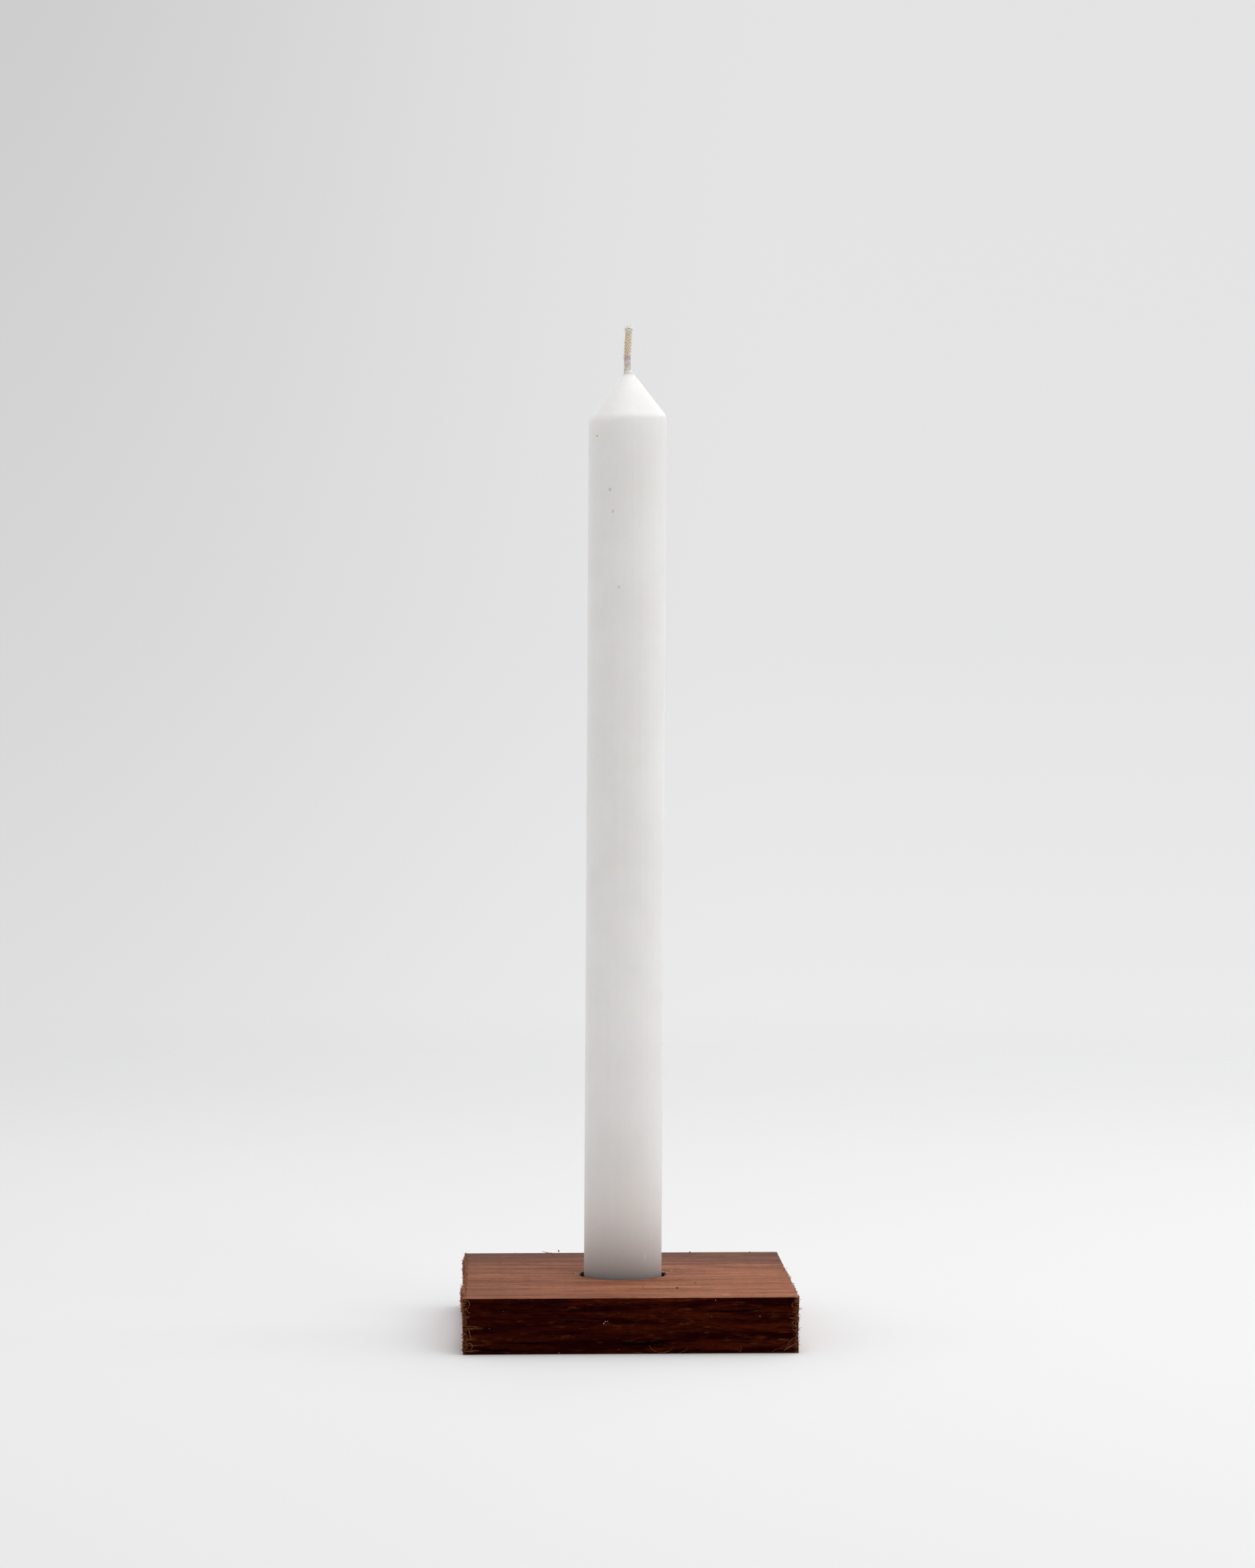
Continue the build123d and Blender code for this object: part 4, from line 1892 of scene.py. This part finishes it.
@dataclass
class Crumbs:
    """Loose crumbs of wood and pale flecks that lie on the block."""

    block: WoodBlock
    wood: Material

    def pale(self) -> list[Crumb]:
        """Flecks on the front face and near the socket.

        Returns:
            The crumbs.
        """
        front, top = -self.block.width / 2 / MM - 0.05, self.block.height / MM + 0.04
        return [
            Crumb((-7.4, front, 8.5), (0.28, 0.16, 0.30)),
            Crumb((-7.0, front, 9.0), (0.45, 0.14, 0.14)),
            Crumb((-6.4, front, 9.0), (0.22, 0.14, 0.18)),
            Crumb((-34.9, front, 11.9), (0.12, 0.08, 0.12)),
            Crumb((-38.7, front, 7.3), (0.14, 0.08, 0.09)),
            Crumb((8.7, front, 11.5), (0.08, 0.07, 0.13)),
            Crumb((22.2, front, 10.1), (0.14, 0.08, 0.08)),
            Crumb((35.4, front, 10.2), (0.11, 0.08, 0.30)),
            Crumb((39.0, front, 10.9), (0.16, 0.08, 0.10)),
            Crumb((-3.4, front, 1.3), (0.11, 0.08, 0.12)),
            Crumb((11.8, 3.2, top), (0.45, 1.4, 0.1)),
            Crumb((13.4, 6.8, top), (0.8, 0.8, 0.1)),
            Crumb((-14.0, 2.6, top), (0.35, 1.6, 0.1)),
        ]

    def dark(self) -> list[Crumb]:
        """Crumbs of wood on the top and its back edge.

        Returns:
            The crumbs.
        """
        top, back = self.block.height / MM, self.block.width / 2 / MM
        return [
            Crumb((-18.1, back - 0.6, top + 0.62), (0.5, 0.45, 0.5)),
            Crumb((-20.3, back - 0.9, top + 0.02), (0.7, 0.5, 0.3)),
            Crumb((-30.8, back - 0.5, top), (0.3, 0.3, 0.2)),
            Crumb((-7.2, back - 0.5, top), (0.4, 0.3, 0.2)),
            Crumb((13.5, -27.0, top + 0.1), (0.7, 1.7, 0.35)),
            Crumb((19.0, -17.4, top + 0.05), (0.22, 3.4, 0.2)),
            Crumb((17.6, 22.8, top + 0.05), (0.3, 0.9, 0.2)),
            Crumb((4.0, -24.5, top + 0.05), (0.5, 0.8, 0.2)),
            Crumb((-20.0, 39.0, top + 0.05), (0.6, 0.9, 0.2)),
            Crumb((20.4, back - 0.5, top + 0.1), (0.5, 0.4, 0.25)),
            Crumb((38.0, back - 0.8, top + 0.1), (0.4, 0.4, 0.2)),
        ]

    def pile(self, name: str, crumbs: Sequence[Crumb], finish: Material, tint: float) -> Object:
        """Makes one piece of a list of crumbs.

        Args:
            name: the piece's name.
            crumbs: the crumbs.
            finish: their material.
            tint: how light they are, for a finish that reads it.

        Returns:
            The piece's object.
        """
        lumpiness = 0.45
        work = bmesh.new()
        for number, crumb in enumerate(crumbs):
            made = bmesh.ops.create_icosphere(work, subdivisions=2, radius=0.5)
            for corner in made["verts"]:
                lumpy = 1.0 + lumpiness * noise.noise(corner.co * 2.6 + Vector((number * 3.1, 0.0, 0.0)))
                stretched = Vector(corner.co[k] * crumb.size[k] for k in range(3)) * lumpy
                corner.co = (stretched + Vector(crumb.place)) * MM
        mesh = bpy.data.meshes.new(name)
        work.to_mesh(mesh)
        work.free()
        mesh.materials.append(finish)
        mesh.attributes.new("tint", "FLOAT", "POINT").data.foreach_set("value", [tint] * len(mesh.vertices))
        mesh.shade_smooth()
        return loose(name, mesh)

    def build(self) -> list[Object]:
        """Makes the crumbs and gives their objects.

        Returns:
            The pieces' objects.
        """
        return [
            self.pile("pale_flecks", self.pale(), PaleDust().build(), 1.0),
            self.pile("wood_crumbs", self.dark(), self.wood, 0.0),
        ]


# ------------------------------------------------------------------ the candle


@dataclass
class Candle:
    """The wax candle and its wick, standing in the socket with a slight lean."""

    foot: Vector
    lean: float = CANDLE_LEAN
    radius: float = 11 * MM
    length: float = WAX_LENGTH
    cone_offset: float = 0.15 * MM
    wick_offset: float = -0.15 * MM
    wick_radius: float = 0.9 * MM
    heart: float = 0.7 * MM  # radius of the cord inside the braid
    waxed_height: float = WAX_CLIMB
    bare_height: float = 12.9 * MM
    sway: float = 0.35 * MM
    yarns: int = 4  # in each direction round the braid
    turns: float = 4.0
    wick_sides: int = 16
    fray: Fluff = Fluff(
        density=75e6,
        shortest=0.5 * MM,
        longest=1.25 * MM,
        root_radius=0.045 * MM,
        rise=1.0,
        curl=0.6,
        curl_size=0.7 * MM,
        seed=8,
    )
    fuzz: Fluff = Fluff(
        density=34e6,
        shortest=0.2 * MM,
        longest=0.7 * MM,
        root_radius=0.022 * MM,
        rise=0.25,
        curl=1.2,
        curl_size=0.4 * MM,
        seed=4,
    )

    def stance(self) -> Matrix:
        """Where the candle's own frame stands in the model's."""
        return Matrix.Translation(self.foot) @ Euler((0.0, self.lean, 0.0)).to_matrix().to_4x4()

    def stand(self, name: str, mesh: Mesh) -> Object:
        """Stands a piece made in the candle's frame in its place on the candle's body.

        Args:
            name: the piece's name.
            mesh: its mesh, in the candle's frame.

        Returns:
            The piece's object.
        """
        mesh.transform(self.stance())
        piece = show(name, mesh)
        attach(piece, CANDLE)
        return piece

    def build_wax(self) -> Object:
        """Makes the wax column with its cone.

        Returns:
            The piece's object.
        """
        sizes = {"Column Radius": self.radius, "Length": self.length, "Cone Offset": self.cone_offset}
        values = {**sizes, "Finish": WhiteWax().build()}
        wax = self.stand("wax_column", grow(turned_wax_tree(), bpy.data.meshes.new("blank"), values))
        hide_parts("candle_wax")
        return wax

    def centre_line(self, above: float) -> Vector:
        """The wick's centre at a height above the cone, in the candle's frame.

        Args:
            above: height above the cone's tip.

        Returns:
            The point on the wick's centre line.
        """
        bare = self.bare_height - self.waxed_height
        share = ease((above - self.waxed_height) / bare)
        return Vector((self.wick_offset + self.sway * share, 0.0, self.length + above))

    def hoop(self, draft: Draft, above: float, radius: float) -> list[int]:
        """Adds a ring of points round the wick's centre, at a height above the cone."""
        return draft.ring([self.centre_line(above) + way * radius for way in around(self.wick_sides)])

    def core(self) -> Mesh:
        """The plain cord inside the wax, which thins to the braid's core above it.

        Returns:
            The mesh.
        """
        draft = Draft()
        steps, tuck = 12, 0.6 * MM  # the core ends this far inside the braid's end
        levels = [(-self.length, self.wick_radius), (-2 * MM, self.wick_radius), (-0.5 * MM, self.heart)]
        levels += [(self.bare_height * k / steps - tuck * (k == steps), self.heart) for k in range(steps + 1)]
        rings = [self.hoop(draft, above, radius) for above, radius in levels]
        draft.stack(rings, self.centre_line(levels[0][0]), self.centre_line(levels[-1][0]))
        return draft.mesh("core", [CottonYarn().build()])

    def sleeve(self) -> Mesh:
        """The bare wick's outer surface as a plain tube, which the cotton's fuzz grows from.

        Returns:
            The mesh.
        """
        draft = Draft()
        steps, start = 12, self.waxed_height * 0.8
        heights = [start + (self.bare_height - start) * k / steps for k in range(steps + 1)]
        draft.stack([self.hoop(draft, above, self.wick_radius) for above in heights])
        return draft.mesh("sleeve", [])

    def tip(self) -> Mesh:
        """A small dome at the wick's top, which the opened yarn grows from.

        Returns:
            The mesh.
        """
        dome_radius, below_end, kept_depth = 0.62 * MM, 0.75 * MM, 1 * MM
        work = bmesh.new()
        bmesh.ops.create_icosphere(work, subdivisions=3, radius=dome_radius)
        bmesh.ops.translate(work, verts=work.verts, vec=self.centre_line(self.bare_height - below_end))
        lowest = self.length + self.bare_height - kept_depth
        spare = [corner for corner in work.verts if corner.co.z < lowest]
        bmesh.ops.delete(work, geom=spare, context="VERTS")
        mesh = bpy.data.meshes.new("tip")
        work.to_mesh(mesh)
        work.free()
        return mesh

    def build_wick(self) -> list[Object]:
        """Makes the wick: its core, the braid round it, and the opened yarn at its end.

        Returns:
            The pieces' objects.
        """
        core = self.core()
        finish = core.materials[0]
        braid = {
            "Yarns": float(self.yarns),
            "Turns": self.turns,
            "Foot": self.length - 1 * MM,
            "Height": self.length + self.bare_height,
            "Centre X": self.wick_offset,
            "Sway": self.sway,
            "Sway Start": self.length + self.waxed_height,
            "Finish": finish,
        }
        pieces = [
            self.stand("wick_core", core),
            self.stand("wick_braid", grow(braid_tree(), bpy.data.meshes.new("blank"), braid)),
            self.stand("wick_fuzz", self.fuzz.on(self.sleeve(), finish)),
            self.stand("wick_fray", self.fray.on(self.tip(), finish)),
        ]
        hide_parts("wick")
        return pieces

    def build_wick_wax(self) -> Object:
        """Makes the skin of wax that has climbed the lowest part of the bare wick.

        Returns:
            The piece's object.
        """
        draft = Draft()
        rings = []
        steps, root = 36, -0.4 * MM
        for k in range(steps + 1):
            height = root + (self.waxed_height - root) * k / steps
            shift = (self.cone_offset - self.wick_offset) * ease(1.0 - height / (1.2 * MM))
            foot = 0.33 * ease(1.0 - height / (0.9 * MM))
            thin = 0.16 * ease((height - self.waxed_height + 1.6 * MM) / (1.6 * MM))
            loop = []
            for out in around(40):
                spot = out * MM + Vector((0.0, 0.0, height))
                lumps = 0.07 * ripple(spot, 0.55 * MM) + 0.04 * ripple(spot, 0.25 * MM, 3.0)
                radius = (0.95 + foot - thin + lumps) * MM
                loop.append(self.centre_line(height) + Vector((shift, 0.0, 0.0)) + out * radius)
            rings.append(draft.ring(loop))
        draft.stack(rings, self.centre_line(root), self.centre_line(self.waxed_height))
        return self.stand("wax_on_wick", draft.mesh("wax_on_wick", [WaxSkin().build()]))


# ------------------------------------------------------------------ the studio


@dataclass(frozen=True)
class SoftPanel:
    """One square panel light that faces the object."""

    name: str
    place: Triple
    side: float
    power: float

    def build(self) -> None:
        """Hangs the light."""
        lamp = bpy.data.lights.new(self.name, "AREA")
        lamp.shape = "SQUARE"
        lamp.size, lamp.energy = self.side, self.power
        holder = bpy.data.objects.new(self.name, lamp)
        holder.location = self.place
        aim = Vector((0.0, 0.0, 0.1)) - Vector(self.place)
        holder.rotation_euler = aim.to_track_quat("-Z", "Y").to_euler()
        bpy.context.scene.collection.objects.link(holder)


@dataclass
class Studio:
    """A pale floor that fades into a pale sweep, soft light from above and the right, and the camera."""

    camera_place: Triple = (-0.0421, -1.2542, 0.1974)
    camera_heading: float = math.radians(1.95)  # turned towards +X
    camera_dip: float = math.radians(1.95)
    focal_length: float = 85.0
    sensor_length: float = 30.0
    floor_radius: float = 1.6
    fade_start: float = 0.40
    fade_end: float = 1.1
    panels: tuple[SoftPanel, ...] = (
        SoftPanel("right_high", (1.0, 0.35, 1.25), 0.9, 2.5),
        SoftPanel("right_low", (1.4, 0.0, 0.55), 0.9, 2.4),
        SoftPanel("right_front", (0.9, -0.8, 1.2), 0.9, 4.6),
        SoftPanel("overhead", (0.1, 0.1, 1.7), 1.1, 14.7),
        SoftPanel("behind", (0.6, 1.2, 1.0), 0.9, 1.7),
    )

    def build_floor(self) -> None:
        """Lays the floor, which gives way to the sweep far from the object."""
        draft = Draft()
        draft.fan(draft.ring([way * self.floor_radius for way in around(96)]), Vector((0.0, 0.0, 0.0)))
        s = Surface("pale_floor")
        s.set(Base_Color=tone(0.86, 0.86, 0.866), Roughness=0.9, Specular_IOR_Level=0.1)
        clear = s.add("ShaderNodeBsdfTransparent")
        gone = s.remap(s.vector("LENGTH", s.place), self.fade_start, self.fade_end)
        mix = s.add("ShaderNodeMixShader", {0: gone, 1: s.shader.outputs[0], 2: clear.outputs[0]})
        s.feed(s.tree.nodes["Material Output"].inputs["Surface"], mix.outputs[0])
        floor = show("floor", draft.mesh("floor", [s.material]))

    def build_sweep(self) -> None:
        """Sets the surroundings: what the camera sees of the sweep, and the light that comes from it."""
        world = bpy.data.worlds.new("sweep")
        bpy.context.scene.world = world
        world.use_nodes = True
        w = Wiring(world.node_tree)
        x, y, z = w.split(w.add("ShaderNodeTexCoord").outputs["Generated"])

        def rising(stops: Sequence[tuple[float, float]]) -> Socket:
            """A grey that follows height: pairs of a direction's Z and the brightness there.

            Args:
                stops: the pairs, rising.

            Returns:
                The result's socket.
            """
            level = tone(*[stops[0][1]] * 3)
            for (low, _), (high, bright) in zip(stops, stops[1:]):
                level = w.blend(w.remap(z, low, high, smooth=False), level, tone(*[bright] * 3))
            return level

        left = rising(((-0.135, 0.815), (-0.087, 0.735), (0.0, 0.675), (0.14, 0.605)))
        right = rising(((-0.135, 0.880), (-0.087, 0.835), (0.0, 0.785), (0.14, 0.775)))
        seen = w.blend(w.remap(x, -0.13, 0.07), left, right)
        seen = w.blend(1.0, seen, tone(0.998, 0.998, 1.004), "MULTIPLY")

        def lobe(axis: Socket, sign: float, strength: float) -> Socket:
            """Light that is strongest along one axis and falls off with the cosine squared."""
            towards = w.larger(w.times(axis, sign), 0.0)
            return w.times(w.times(towards, towards), strength)

        across = w.plus(lobe(x, 1.0, 0.355), lobe(x, -1.0, 0.793))
        level = w.plus(across, w.plus(lobe(y, 1.0, 0.998), lobe(y, -1.0, 0.625)))
        background = world.node_tree.nodes["Background"]
        path = w.add("ShaderNodeLightPath").outputs["Is Camera Ray"]
        w.feed(background.inputs["Color"], w.blend(path, w.xyz(level, level, level), seen))

    def build_camera(self) -> None:
        """Sets up the camera, level with the middle of the candle."""
        data = bpy.data.cameras.new("camera")
        data.lens = self.focal_length
        data.sensor_width = self.sensor_length
        data.clip_start, data.clip_end = 0.05, 50.0
        camera = bpy.data.objects.new("camera", data)
        camera.location = self.camera_place
        camera.rotation_euler = (math.radians(90) - self.camera_dip, 0.0, -self.camera_heading)
        bpy.context.scene.collection.objects.link(camera)
        bpy.context.scene.camera = camera

    def build(self) -> None:
        """Sets up the floor, sweep, lights and camera."""
        bpy.context.scene.view_settings.view_transform = "Standard"
        self.build_floor()
        self.build_sweep()
        for panel in self.panels:
            panel.build()
        self.build_camera()


def main() -> None:
    """Builds every piece in order and reports it."""
    logging.basicConfig(level=logging.INFO, format="%(name)s: %(message)s")
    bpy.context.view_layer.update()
    block = WoodBlock()
    body = block.build()
    log.info("block: %d faces", len(body.data.polygons))
    fibre = TornFibre().build()
    pieces = TornEnds(block, body, fibre).build()
    pieces += Shavings(block, fibre).build() + Crumbs(block, fibre).build()
    lowest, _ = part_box("candle_wax")
    foot_z = lowest.z + BASE_FLAT_RADIUS * math.sin(CANDLE_LEAN)
    candle = Candle(foot=Vector((block.socket_x, block.socket_y, foot_z)))
    pieces += [candle.build_wax(), *candle.build_wick(), candle.build_wick_wax()]
    for piece in pieces:
        log.info("%s: %d faces", piece.name, len(piece.data.polygons))
    Studio().build()


if __name__ == "__main__":
    main()
